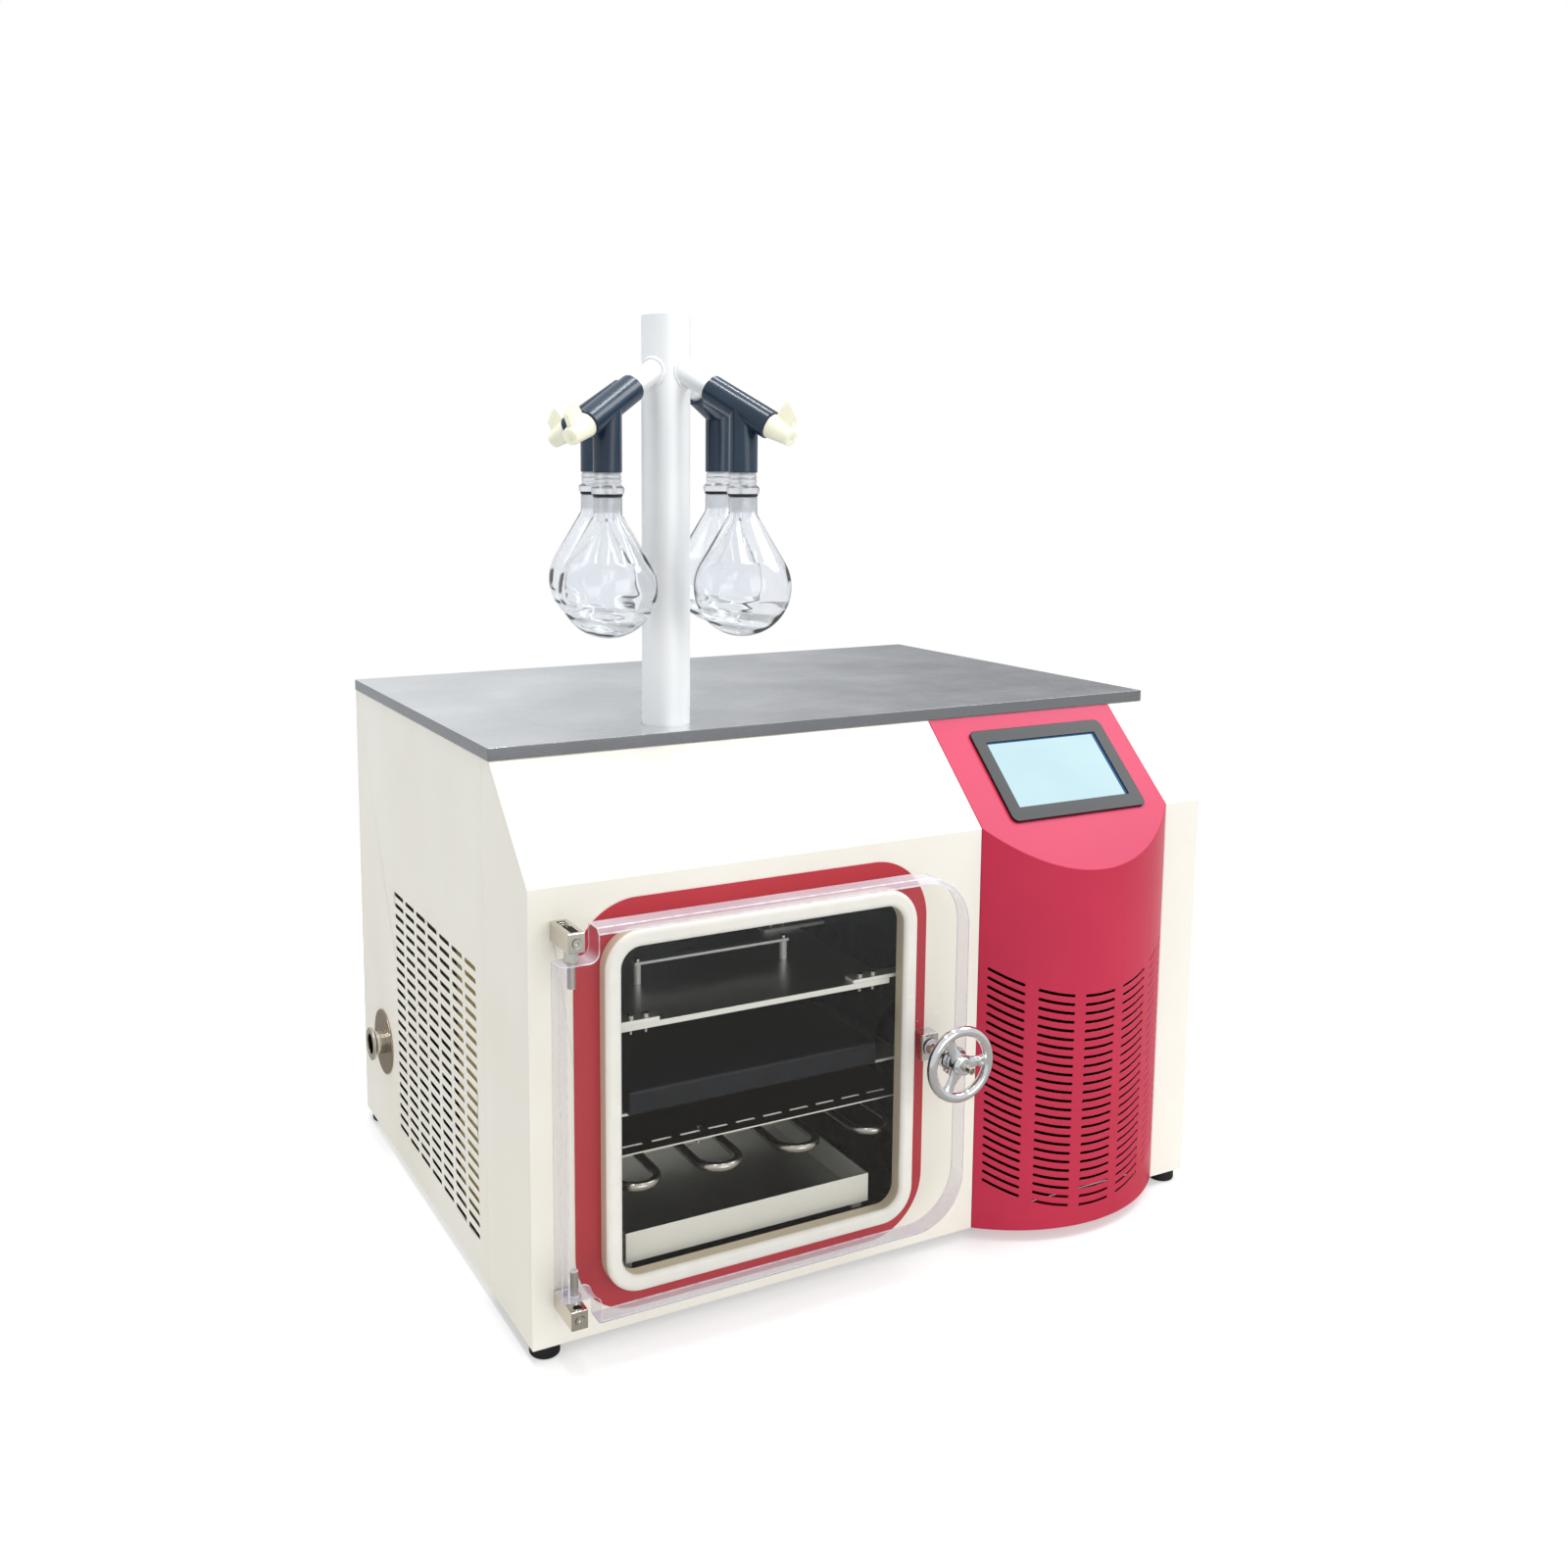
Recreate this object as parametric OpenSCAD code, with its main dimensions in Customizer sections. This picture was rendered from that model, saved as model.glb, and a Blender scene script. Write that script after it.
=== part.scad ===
// Bench-top freeze dryer. Lengths are millimetres.

/* [Cabinet] */
// Width of the cabinet, side to side
cab_w = 820; // [800:5:1100]
// Depth of the cabinet, front face to rear face
cab_d = 602; // [570:2:800]
// Height of the upright front face
face_h = 448; // [440:1:620]
// Height that the sloping front gains
slope_rise = 100; // [85:1:120]
// Depth that the sloping front takes
slope_run = 100; // [85:1:115]
// Depth of the front shell's side cheeks, to the side seam
cheek_d = 124; // [120:1:150]
// Thickness of the painted sheet
sheet = 1.5; // [1:0.25:2]
// Width of the folded inner flanges
flange_w = 15; // [10:1:20]
// Gap at the seam between two panels
seam_gap = 0.3; // [0.2:0.1:0.8]
// Height of the base tray's rim
tray_rim_h = 20; // [10:1:30]
// Height of the top plate's folded edge
top_edge_h = 13; // [8:1:20]
// Thickness of the top plate's sheet
top_sheet = 2; // [1.5:0.5:3]
// Overhang of the top plate past the cabinet
top_overhang = 1; // [0.5:0.5:3]
// Diameter of a foot
foot_d = 30; // [24:1:32]
// Height of a foot
foot_h = 13; // [8:1:20]
// Foot centre from the side face
foot_inset_x = 18; // [17:1:40]
// Foot centre from the front and rear faces
foot_inset_y = 16; // [16:1:40]

/* [Air Grille] */
// Number of slot columns
grille_cols = 7; // [3:1:8]
// Number of slot rows
grille_rows = 23; // [8:1:24]
// Height of a slot
grille_slot_h = 5; // [3:0.5:7]
// Bar of sheet between two columns
grille_bar = 7.7; // [4:0.1:12]
// Distance between rows
grille_row_pitch = 13; // [10:0.5:15]
// Front end of the first column, behind the side seam
grille_front_room = 26.9; // [15:0.1:40]
// Rear end of the last column, before the port's cover disc
grille_rear_room = 22.6; // [10:0.1:40]
// Height of the lowest row
grille_z = 40; // [30:1:60]

/* [Console] */
// Width of the console
console_w = 259; // [250:1:270]
// How far its curved front stands out
console_bulge = 48; // [30:1:60]
// Distance from the console to the right side face
console_margin = 50; // [40:1:60]
// Gap between the console and the front shell
console_gap = 0.4; // [0.3:0.1:1]
// Number of louvre columns
louvre_cols = 5; // [3:2:5]
// Number of louvre rows
louvre_rows = 25; // [10:1:25]
// Distance between louvre rows
louvre_pitch = 9.92; // [9:0.02:11]
// Height of a louvre slot on the console's face
louvre_h = 3.9; // [3:0.1:5]
// Angle at which the slots rise towards the cabinet
louvre_tilt = 40; // [20:1:45]
// Height of the middle of the lowest row
louvre_z = 22; // [20:1:40]
// Outer end of an outer slot, from the console's side
louvre_side_room = 7.5; // [5:0.5:12]
// Length of a middle slot, seen from the front
louvre_l = 41; // [30:1:43]
// Length of an outer slot, seen from the front
louvre_l_outer = 34.5; // [24:0.5:36]

/* [Screen] */
// Width of the screen's black frame
bezel_w = 187; // [150:1:200]
// Length of the frame up the slope
bezel_l = 119; // [90:1:120]
// Frame's centre from the console's centre line
bezel_shift = 6; // [-10:1:10]
// Corner radius of the frame
bezel_r = 8; // [2:1:14]
// How far the frame stands out of the slope
bezel_proud = 3; // [2:0.5:5]
// Frame's lower edge from the fold of the slope
bezel_up = 1; // [1:0.5:6]
// Width of the display window
window_w = 154; // [120:1:160]
// Length of the display window up the slope
window_l = 85; // [60:1:88]
// Depth of the frame's body behind the slope
bezel_depth = 12; // [8:1:20]
// Thickness of the display panel
display_t = 2; // [1:0.5:3]
// Thickness of the control board
board_t = 1.6; // [1:0.2:3]

/* [Door] */
// Door's wide part past the mouth, left
door_left = 35; // [30:0.5:37]
// Door past the mouth, right
door_right = 65; // [60:0.5:70]
// Door past the mouth, below
door_below = 23.5; // [21:0.5:26]
// Door past the mouth, above
door_above = 32.5; // [28:0.5:36]
// Thickness of the door
door_t = 25; // [20:1:30]
// Width of the bevel round the door's front
door_bevel = 5; // [2:0.5:6]
// Radius of the two free corners
door_corner_r = 58; // [40:1:70]
// Width of the notch that clears each hinge block
notch_w = 37; // [36:0.5:40]
// Height of that notch
notch_h = 30.5; // [30:0.5:34]
// Inner radius of that notch
notch_r = 9; // [5:0.5:12]
// Gap between the cabinet's front face and the door
door_gap = 18; // [18:0.5:24]

/* [Hinge] */
// Axis of the hinge from the door's left edge
hinge_inset = 15; // [14:0.5:18]
// Width of a hinge block
block_w = 16.5; // [16:0.5:18]
// Height of a hinge block
block_h = 18.5; // [16:0.5:20]
// Underside of the lower block above the door's lower edge
low_block_up = 4; // [3:0.5:8]
// Left side of a hinge block from the hinge's axis
block_left = 8.5; // [8:0.5:10]
// Diameter of a hinge pin
pin_d = 8; // [6:0.5:9]
// Depth of a pin's hole in the door
pin_in_door = 25; // [15:1:30]
// Depth of a pin's hole in its block
pin_in_block = 10; // [6:0.5:12]
// Radial running clearance of a hinge pin
pin_play = 0.05; // [0.02:0.01:0.1]
// Diameter of the shoulder that the door turns on
shoulder_d = 14; // [12:0.5:16]
// End play between a shoulder and the door
shoulder_play = 0.2; // [0.1:0.05:0.3]
// Pin's axis in front of the cabinet
hinge_out = 30.5; // [30:0.5:36]

/* [Seal And Surround] */
// Left edge of the chamber's mouth
mouth_x = 87; // [86:1:90]
// Width of the chamber's mouth
mouth_w = 316; // [312:1:320]
// Lower edge of the chamber's mouth
mouth_z = 59; // [56:1:62]
// Height of the chamber's mouth
mouth_h = 325; // [322:1:328]
// Corner radius of the mouth
mouth_r = 20; // [12:1:26]
// Width of the rubber seal's face
seal_w = 17; // [15:0.5:18]
// Gap between the shut door and the seal
seal_gap = 0.3; // [0.2:0.1:0.6]
// Thickness of the collar that the seal sits on
collar_t = 4; // [3:0.5:5]
// Clearance between the collar and the seal's groove
groove_play = 0.2; // [0.1:0.05:0.4]
// How far the collar stands out of the cabinet
collar_out = 12; // [8:1:14]
// Coloured surround past the mouth, left
surround_left = 43; // [36:0.5:45]
// Surround past the mouth, right
surround_right = 38; // [36:0.5:50]
// Surround past the mouth, below
surround_below = 41; // [30:0.5:50]
// Surround past the mouth, above
surround_above = 44; // [30:0.5:50]
// Corner radius of the surround
surround_r = 65; // [40:1:80]
// Thickness of the surround's sheet
surround_t = 1; // [0.8:0.1:1.5]
// Clearance round the collar where it passes a sheet
collar_play = 1; // [0.5:0.5:2]

/* [Latch] */
// Handwheel's centre past the mouth's right edge
wheel_right = 35.5; // [33:0.5:38]
// Handwheel's centre above the mouth's middle
wheel_up = 5; // [-20:0.5:20]
// Diameter of the handwheel
wheel_d = 80; // [60:1:84]
// Thickness of the handwheel's rim
wheel_rim_d = 10.5; // [8:0.5:12]
// Rim's middle in front of the door
wheel_out = 24; // [22:0.5:30]
// Diameter of the handwheel's hub
wheel_hub_d = 22; // [18:1:26]
// Width of a spoke at the hub
spoke_w = 13; // [8:1:14]
// Thickness of a spoke
spoke_t = 5; // [3:0.5:8]
// Diameter of the clamp screw
screw_d = 10; // [8:0.5:12]
// Diameter of the clamp screw's front stud
stud_d = 8; // [6:0.5:8]
// How far the stud stands in front of the door
stud_out = 44; // [42:1:60]
// Radial running clearance of the clamp screw
screw_play = 0.05; // [0.02:0.01:0.1]
// Travel of the screw when it is tightened
clamp_travel = 9; // [6:1:10]
// Flange diameter of the bushing in the door
bushing_d = 24; // [20:1:28]
// Flange thickness of the bushing
bushing_flange_t = 2.5; // [2:0.5:3]
// Outer diameter of the bushing in the door
bushing_body_d = 16; // [14:0.5:18]
// Diameter of the clamp washer
washer_d = 30; // [26:1:32]
// Thickness of the clamp washer
washer_t = 3; // [2:0.5:4]
// Width of the nut block on the cabinet
nut_w = 20; // [16:1:24]
// Height of the nut block
nut_h = 28; // [20:1:36]
// Depth of the nut block
nut_d = 16; // [12:0.5:17]
// Extra radius of the nut's bore over the screw
nut_play = 0.3; // [0.2:0.1:0.5]

/* [Manifold] */
// Centre of the post from the left side face
post_x = 213; // [200:1:260]
// Room between the front shell and the post
post_room = 2; // [1:0.5:20]
// Diameter of the post
post_d = 50; // [44:1:54]
// Wall of the post
post_wall = 3; // [2:0.5:4]
// Height of the post's top above the top plate
post_top = 417; // [380:1:500]
// Height above the top plate where the branches meet
branch_up = 372; // [330:1:380]
// Slope of the branches below horizontal
branch_slope = 27.5; // [20:0.5:32]
// Bearing of the first branch, from the right
branch_bearing = -62.5; // [-90:0.5:0]
// Diameter of a branch stub where the valve fits on
stub_d = 20; // [16:0.5:22]
// Diameter of a branch stub at the post
stub_root_d = 27; // [22:0.5:30]
// Bore of a branch stub
stub_bore_d = 14; // [8:0.5:15]

/* [Valves] */
// Outer diameter of a rubber valve
valve_d = 28.5; // [26:0.5:32]
// Upright leg from the post's axis
leg_r = 95; // [86:1:120]
// Valve's near end from the leg's axis, measured level
valve_inner = 39; // [32:0.5:44]
// Valve's far end from the leg's axis, measured level
valve_outer = 32; // [28:0.5:40]
// Length of the upright leg below the branch axis
leg_l = 62.5; // [50:0.5:80]
// Bore of the upright leg
leg_bore_d = 18.2; // [14:0.1:19]
// Length of the stub inside the valve
stub_in_valve = 24; // [15:1:26]
// Radial clearance of the knob's plug in the valve
plug_play = 0.05; // [0.02:0.01:0.1]
// Clearance between a knob and the end of its valve
knob_gap = 0.3; // [0.2:0.1:0.6]
// Length of a knob's head
knob_l = 27; // [20:1:34]
// Diameter of a knob's head at the valve
knob_root_d = 25; // [20:1:27]
// Diameter of a knob's head at its outer end
knob_tip_d = 17; // [14:1:20]
// Reach of the knob's lever from its axis
lever_reach = 30; // [24:1:34]
// Width of the lever
lever_w = 18; // [12:1:22]
// Radius of the lever's corners
lever_r = 4; // [2:0.5:5]
// Fall of the lever's outer corner below its inner one
lever_drop = 7; // [0:0.5:10]
// Lever's inner corner from the end of the valve
lever_in = 5; // [1:0.5:6]
// Thickness of the lever
lever_t = 6; // [4:0.5:9]

/* [Flasks] */
// Diameter of a flask's neck
neck_d = 28.5; // [27:0.5:32]
// Length of a flask's neck
neck_l = 17.5; // [14:0.5:24]
// Largest diameter of a flask
flask_d = 98; // [90:1:110]
// Bulb's centre below the neck
bulb_drop = 72; // [64:1:84]
// Wall of a flask
flask_wall = 2; // [1.6:0.1:2.6]
// Bore of the flask's socket at its top
socket_d = 23.4; // [22:0.2:23.8]
// Bore of the flask's socket at its lower end
socket_low_d = 21.4; // [19:0.2:21.6]
// Radial clearance of the ground joint
joint_play = 0.1; // [0.05:0.05:0.3]
// Thickness of a joint's rubber ring
ring_t = 3; // [2:0.5:4]
// Diameter of the adapter's wide collar
adapter_collar_d = 31.5; // [29:0.5:34]
// Height of the adapter's wide collar
adapter_collar_h = 7.5; // [5:0.5:10]
// Diameter of the adapter's ribbed part
adapter_rib_d = 27; // [25:0.5:28]
// Height of the adapter's ribbed part
adapter_rib_h = 13; // [9:0.5:16]
// Bore of the adapter
adapter_bore_d = 12; // [8:0.5:13]

/* [Chamber] */
// Chamber's inside past the mouth, left
room_left = 31.5; // [24:0.5:34]
// Chamber's inside past the mouth, right
room_right = 32.5; // [24:0.5:36]
// Inside depth of the chamber
chamber_d = 246; // [240:2:270]
// Depth of the chamber's floor below the mouth
room_below = 12; // [8:0.5:16]
// Height of the chamber's roof above the mouth
room_above = 10; // [8:0.5:14]
// Wall of the chamber
chamber_wall = 2.5; // [2:0.5:3]
// Thickness of the insulation jacket
jacket_t = 30; // [20:1:34]

/* [Shelves] */
// Top shelf from the chamber's left wall
shelf_left = 36.5; // [30:0.5:44]
// Top shelf from the chamber's right wall
shelf_right_gap = 35.5; // [30:0.5:44]
// Depth of the top shelf
shelf_d = 200; // [180:1:205]
// Underside of the top shelf above the chamber's floor
shelf_up = 248; // [225:1:255]
// Thickness of the top shelf
shelf_t = 6; // [4:0.5:8]
// Length of a shelf bracket
bracket_l = 80; // [70:1:90]
// Depth of a shelf bracket
bracket_d = 16; // [12:1:20]
// Thickness of a shelf bracket
bracket_t = 4; // [3:0.5:5]
// Handle's left end from the shelf's left edge
handle_in = 61; // [40:1:80]
// Length of the shelf's handle
handle_l = 182; // [160:1:190]
// Distance of the handle from the chamber's front
handle_y = 101; // [80:1:120]
// Height of the handle's posts
handle_h = 21; // [15:1:30]
// Width of the handle's bar
handle_w = 9; // [9:0.5:14]
// Thickness of the handle's bar
handle_t = 3; // [2:0.5:4]
// Heated shelf from the chamber's left wall
heater_left = 51.5; // [40:0.5:60]
// Heated shelf from the chamber's right wall
heater_right = 45.5; // [40:0.5:60]
// Underside of the heated shelf above the chamber's floor
heater_up = 159; // [145:1:170]
// Thickness of the heated shelf
heater_t = 24; // [16:1:28]
// Depth of the heated shelf
heater_d = 190; // [170:1:200]
// Thickness of the rails under the heated shelf
rail_t = 3; // [2:0.5:4]
// Reach of a rail under the heated shelf
rail_bite = 12; // [6:1:20]
// Underside of the baffle plate above the chamber's floor
baffle_up = 117; // [108:1:122]
// Thickness of the baffle plate
baffle_t = 1.5; // [1:0.5:2]
// Number of slots in the baffle plate
baffle_slots = 11; // [5:1:13]
// Length of a baffle slot
baffle_slot_l = 22; // [12:1:24]
// Width of a baffle slot
baffle_slot_w = 3.5; // [3:0.5:5]
// Drip tray from the chamber's left wall
drip_left = 44.5; // [38:0.5:50]
// Drip tray from the chamber's right wall
drip_right = 55.5; // [48:0.5:62]
// Depth of the drip tray
drip_d = 200; // [180:1:210]
// Height of the drip tray's feet
drip_foot_h = 12; // [6:1:14]
// Height of the drip tray's wall
drip_h = 31; // [24:1:34]

/* [Cold Coil] */
// Diameter of the coil's tube
coil_tube_d = 9.5; // [8:0.5:11]
// Bore of the coil's tube
coil_bore_d = 7.5; // [5:0.5:7.5]
// Height of the coil's middle above the chamber's floor
coil_up = 81; // [73:1:87]
// Number of front bends
coil_bends = 4; // [2:1:4]
// First tube's middle from the chamber's left wall
coil_left = 46.5; // [40:0.5:50]
// Last tube's middle from the chamber's right wall
coil_right = 11.5; // [8:0.5:20]
// Bends from the chamber's front wall
coil_front_gap = 12; // [8:1:20]

/* [Refrigeration] */
// Diameter of the compressor's shell
compressor_d = 150; // [120:2:160]
// Height of the compressor's straight shell
compressor_h = 170; // [140:2:200]
// Height of the compressor's dome
compressor_dome_h = 22; // [14:1:30]
// Compressor's centre from the right side face
compressor_from_right = 200; // [150:2:220]
// Compressor's centre from the rear face
compressor_from_rear = 182; // [150:2:200]
// Gap between the condenser and the console's sides
condenser_side_gap = 9.5; // [9:0.5:20]
// Height of the condenser
condenser_h = 260; // [200:2:280]
// Depth of the condenser
condenser_d = 44; // [30:1:50]
// Front of the condenser from the front face
condenser_y = 20; // [18:1:30]
// Underside of the fins above the base tray
condenser_up = 30; // [20:1:50]
// Number of condenser fins
fin_count = 13; // [7:2:15]
// Thickness of a condenser fin
fin_t = 0.8; // [0.6:0.1:1.2]
// Number of condenser tube runs
run_count = 6; // [4:2:6]
// Diameter of the condenser's tube
run_d = 9.5; // [8:0.5:11]
// Thickness of the shroud's plate
shroud_t = 2; // [1.5:0.5:3]
// Bore of the shroud's ring
shroud_ring_d = 206; // [180:2:210]
// Depth of the shroud's ring
shroud_ring_l = 30; // [20:1:40]
// Number of fan blades
blade_count = 5; // [3:1:7]
// Gap between blade tips and the shroud's ring
blade_gap = 5; // [3:0.5:8]
// Diameter of the fan's hub
fan_hub_d = 46; // [36:1:60]
// Length of the fan's hub
fan_hub_l = 20; // [14:1:26]
// Diameter of the fan motor
motor_d = 60; // [50:1:70]
// Length of the fan motor
motor_l = 50; // [40:1:70]
// Diameter of the fan motor's shaft
shaft_d = 6; // [5:0.5:8]
// Radial running clearance of the fan's hub on the shaft
shaft_play = 0.05; // [0.02:0.01:0.1]

/* [Vacuum Port] */
// Port's centre from the rear face
port_from_rear = 94; // [80:1:110]
// Height of the port's centre
port_z = 122; // [110:1:140]
// Diameter of the port's cover disc
port_disc_d = 79; // [60:1:90]
// Thickness of the port's cover disc
port_disc_t = 2; // [1:0.5:3]
// Diameter of the port's flange
port_flange_d = 40; // [38:1:44]
// Outer diameter of the port's tube
port_tube_d = 28; // [26:0.5:30]
// Bore of the port
port_bore_d = 25; // [20:0.5:25]
// How far the port stands out of the side face
port_out = 18; // [14:1:26]
// How far the port's tube reaches inside
port_in = 30; // [20:1:30]
// Bend radius of the pipe behind the port
pipe_bend_r = 40; // [36:1:44]

/* [Mains Inlet] */
// Inlet's centre from the right side face
inlet_from_right = 90; // [60:5:200]
// Height of the inlet's centre
inlet_z = 90; // [60:1:160]
// Width of the inlet module's flange
inlet_w = 50; // [48:1:60]
// Height of the inlet module's flange
inlet_h = 68; // [66:1:80]
// Thickness of the inlet module's flange
inlet_flange_t = 2; // [1.5:0.5:3]
// Width of the rocker switch
rocker_w = 22; // [16:1:24]
// Height of the rocker switch
rocker_h = 18; // [16:1:20]
// Travel of the rocker switch in degrees
rocker_travel = 16; // [10:1:20]

/* [Hidden] */
$fn = 96;

cream = "#f1eee3";
red = "#c53c46";
console_red = "#d2486a";
stainless = "#8a8c90";
aluminium = "#c9ccce";
chrome = "#d8dadc";
rubber_black = "#2b3947";
seal_white = "#efefee";
ivory = "#f3f2dc";
liner_grey = "#4a4c50";
copper = "#b87351";
glass = "#dfeef0";

eps = 0.01;
past = 5;  // how far a cutter runs past the face that it cuts
shell_h = face_h + slope_rise;
slope_angle = atan2(slope_rise, slope_run);
slope_drop = sheet / cos(slope_angle);
plate_top = shell_h + top_edge_h;

// places that several pieces share
mouth_right = mouth_x + mouth_w;
door_x = mouth_x - door_left;
door_w = mouth_w + door_left + door_right;
door_z = mouth_z - door_below;
door_h = mouth_h + door_below + door_above;
wheel_x = mouth_right + wheel_right;
wheel_z = mouth_z + mouth_h / 2 + wheel_up;
chamber_x = mouth_x - room_left;
chamber_w = mouth_w + room_left + room_right;
chamber_z = mouth_z - room_below;
chamber_h = mouth_h + room_below + room_above;
valve_near = leg_r - valve_inner;
valve_far = leg_r + valve_outer;
port_y = cab_d - port_from_rear;
post_y = cheek_d + post_room + post_d / 2;
origin_x = (cab_w + top_overhang - port_out) / 2;
origin_y = (cab_d + inlet_flange_t - door_gap - door_t - stud_out) / 2;

// Height of the slope's outer face at depth y
function slope_z(y) = face_h + y * tan(slope_angle);

// Angle at which a line from (r, z) touches a circle
function touch_angle(r, z, circle_r) = atan2(z, r) - acos(circle_r / norm([r, z]));

// Moves the cabinet's frame to the part's own
module place() {
  translate([-origin_x, -origin_y, foot_h]) children();
}

module up(z) {
  translate([0, 0, z]) children();
}

// Extrudes an outline drawn in X and Z along Y
module along_y(y0, y1) {
  translate([0, y1, 0]) rotate([90, 0, 0]) linear_extrude(y1 - y0) children();
}

// Extrudes an outline drawn in Y and Z along X
module along_x(x0, x1) {
  translate([x0, 0, 0]) rotate([90, 0, 90]) linear_extrude(x1 - x0) children();
}

// Cylinder along Y between two depths
module rod_y(x, z, d, y0, y1) {
  translate([x, y1, z]) rotate([90, 0, 0]) cylinder(d = d, h = y1 - y0);
}

// Cylinder along X between two places
module rod_x(y, z, d, x0, x1) {
  translate([x0, y, z]) rotate([0, 90, 0]) cylinder(d = d, h = x1 - x0);
}

module box(x0, x1, y0, y1, z0, z1) {
  translate([x0, y0, z0]) cube([x1 - x0, y1 - y0, z1 - z0]);
}

// Rectangle with round corners
module round_rect(x, z, w, h, r) {
  translate([x + r, z]) square([w - 2 * r, h]);
  translate([x, z + r]) square([w, h - 2 * r]);
  for (cx = [x + r, x + w - r], cz = [z + r, z + h - r]) {
    translate([cx, cz]) circle(r);
  }
}

// Slot with round ends
module slot(x, z, l, h) {
  translate([x + h / 2, z - h / 2]) square([l - h, h]);
  for (cx = [x + h / 2, x + l - h / 2]) {
    translate([cx, z]) circle(d = h);
  }
}

// --- cabinet

// Folded sheet with a flange turned in on four sides
module flanged_panel(x0, x1, y0, y1, z0, z1, open_x) {
  difference() {
    box(x0, x1, y0, y1, z0, z1);
    translate([open_x * sheet, 0, 0]) {
      box(x0, x1, y0 + sheet, y1 - sheet, z0 + sheet, z1 - sheet);
      // the flanges stop above the base tray's rim
      box(x0, x1, y0 - past, y1 + past, z0 + sheet, z0 + tray_z + tray_rim_h + seam_gap);
    }
  }
}

tray_z = sheet;
tray_edge = sheet + seam_gap;

module base_tray() {
  color(stainless)
  difference() {
    box(tray_edge, cab_w - tray_edge, tray_edge, cab_d - tray_edge, tray_z, tray_z + tray_rim_h);
    box(tray_edge + sheet, cab_w - tray_edge - sheet, tray_edge + sheet, cab_d - tray_edge - sheet,
      tray_z + sheet, tray_z + tray_rim_h + past);
    // room for the console's folded edges
    box(console_x - console_gap, console_x + console_w + console_gap, -past, flange_w + console_gap,
      -past, tray_z + tray_rim_h + past);
  }
}

module shell_profile() {
  polygon([[0, 0], [0, face_h], [slope_run, shell_h], [cheek_d, shell_h], [cheek_d, 0]]);
}

module shell_hollow() {
  inner_z = face_h + sheet * (sin(slope_angle) - 1) / cos(slope_angle);
  inner_y = (sheet + (slope_rise - sheet) * cos(slope_angle)) / sin(slope_angle);
  polygon([
    [sheet, sheet], [flange_w, sheet], [flange_w, -past], [cheek_d + past, -past],
    [cheek_d + past, shell_h - sheet], [inner_y, shell_h - sheet], [sheet, inner_z]
  ]);
}

module front_shell() {
  color(cream)
  difference() {
    along_x(0, cab_w) shell_profile();
    along_x(sheet, cab_w - sheet) shell_hollow();
    along_y(-past, past) collar_outline(collar_play);
    console_cut();
    rod_y(wheel_x, wheel_z, screw_d + 2 * nut_play, -past, past);
    for (s = rear_screws) {
      rod_y(s[0], s[1], screw_shank_d + 2 * screw_hole_play, -past, past);
    }
  }
}

// Opening in the front shell that the console fills
module console_cut() {
  box(console_x - console_gap, console_x + console_w + console_gap, -past, slope_run,
    -past, shell_h + past);
}

side_y = cheek_d + seam_gap;
grille_y = side_y + grille_front_room;
grille_end = port_y - port_disc_d / 2 - grille_rear_room;
grille_col_pitch = (grille_end - grille_y + grille_bar) / grille_cols;
grille_slot_l = grille_col_pitch - grille_bar;

module left_panel() {
  color(cream)
  difference() {
    flanged_panel(0, flange_w, side_y, cab_d - sheet, 0, shell_h, 1);
    along_x(-past, past)
    for (c = [0 : grille_cols - 1], r = [0 : grille_rows - 1]) {
      slot(grille_y + c * grille_col_pitch, grille_z + r * grille_row_pitch,
         grille_slot_l, grille_slot_h);
    }
    rod_x(port_y, port_z, port_tube_d + 2 * seam_gap, -past, past);
  }
}

module right_panel() {
  color(cream)
  flanged_panel(cab_w - flange_w, cab_w, side_y, cab_d - sheet, 0, shell_h, -1);
}

module rear_panel() {
  color(cream)
  difference() {
    box(0, cab_w, cab_d - sheet, cab_d, 0, shell_h);
    box(inlet_x - inlet_body_w / 2 - seam_gap, inlet_x + inlet_body_w / 2 + seam_gap,
      cab_d - past, cab_d + past,
      inlet_z - inlet_body_h / 2 - seam_gap, inlet_z + inlet_body_h / 2 + seam_gap);
  }
}

module top_plate() {
  color(stainless)
  difference() {
    box(-top_overhang, cab_w + top_overhang, slope_run - top_overhang, cab_d + top_overhang,
      shell_h, plate_top);
    box(-top_overhang + top_sheet, cab_w + top_overhang - top_sheet,
      slope_run - top_overhang + top_sheet, cab_d + top_overhang - top_sheet,
      shell_h - past, plate_top - top_sheet);
    translate([post_x, post_y, shell_h]) cylinder(d = post_d + 2 * seam_gap, h = top_edge_h + past);
  }
}

module foot() {
  foot_edge = 3;
  rotate_extrude() {
    translate([0, -foot_h + foot_edge]) square([foot_d / 2, foot_h - foot_edge]);
    translate([0, -foot_h]) square([foot_d / 2 - foot_edge, foot_h]);
    translate([foot_d / 2 - foot_edge, -foot_h + foot_edge]) circle(foot_edge);
  }
}

module feet() {
  color(rubber_black)
  for (x = [foot_inset_x, cab_w - foot_inset_x], y = [foot_inset_y, cab_d - foot_inset_y]) {
    translate([x, y, 0]) foot();
  }
}

// --- seal and surround

collar_in = (seal_w - collar_t) / 2;  // mouth's edge to the collar's inner face

// Outline of the mouth, grown by a distance on every side
module mouth_outline(grow) {
  round_rect(mouth_x - grow, mouth_z - grow, mouth_w + 2 * grow, mouth_h + 2 * grow, mouth_r + grow);
}

// Outline of the collar's outer face, grown by a clearance
module collar_outline(play) {
  mouth_outline(collar_in + collar_t + play);
}

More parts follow.
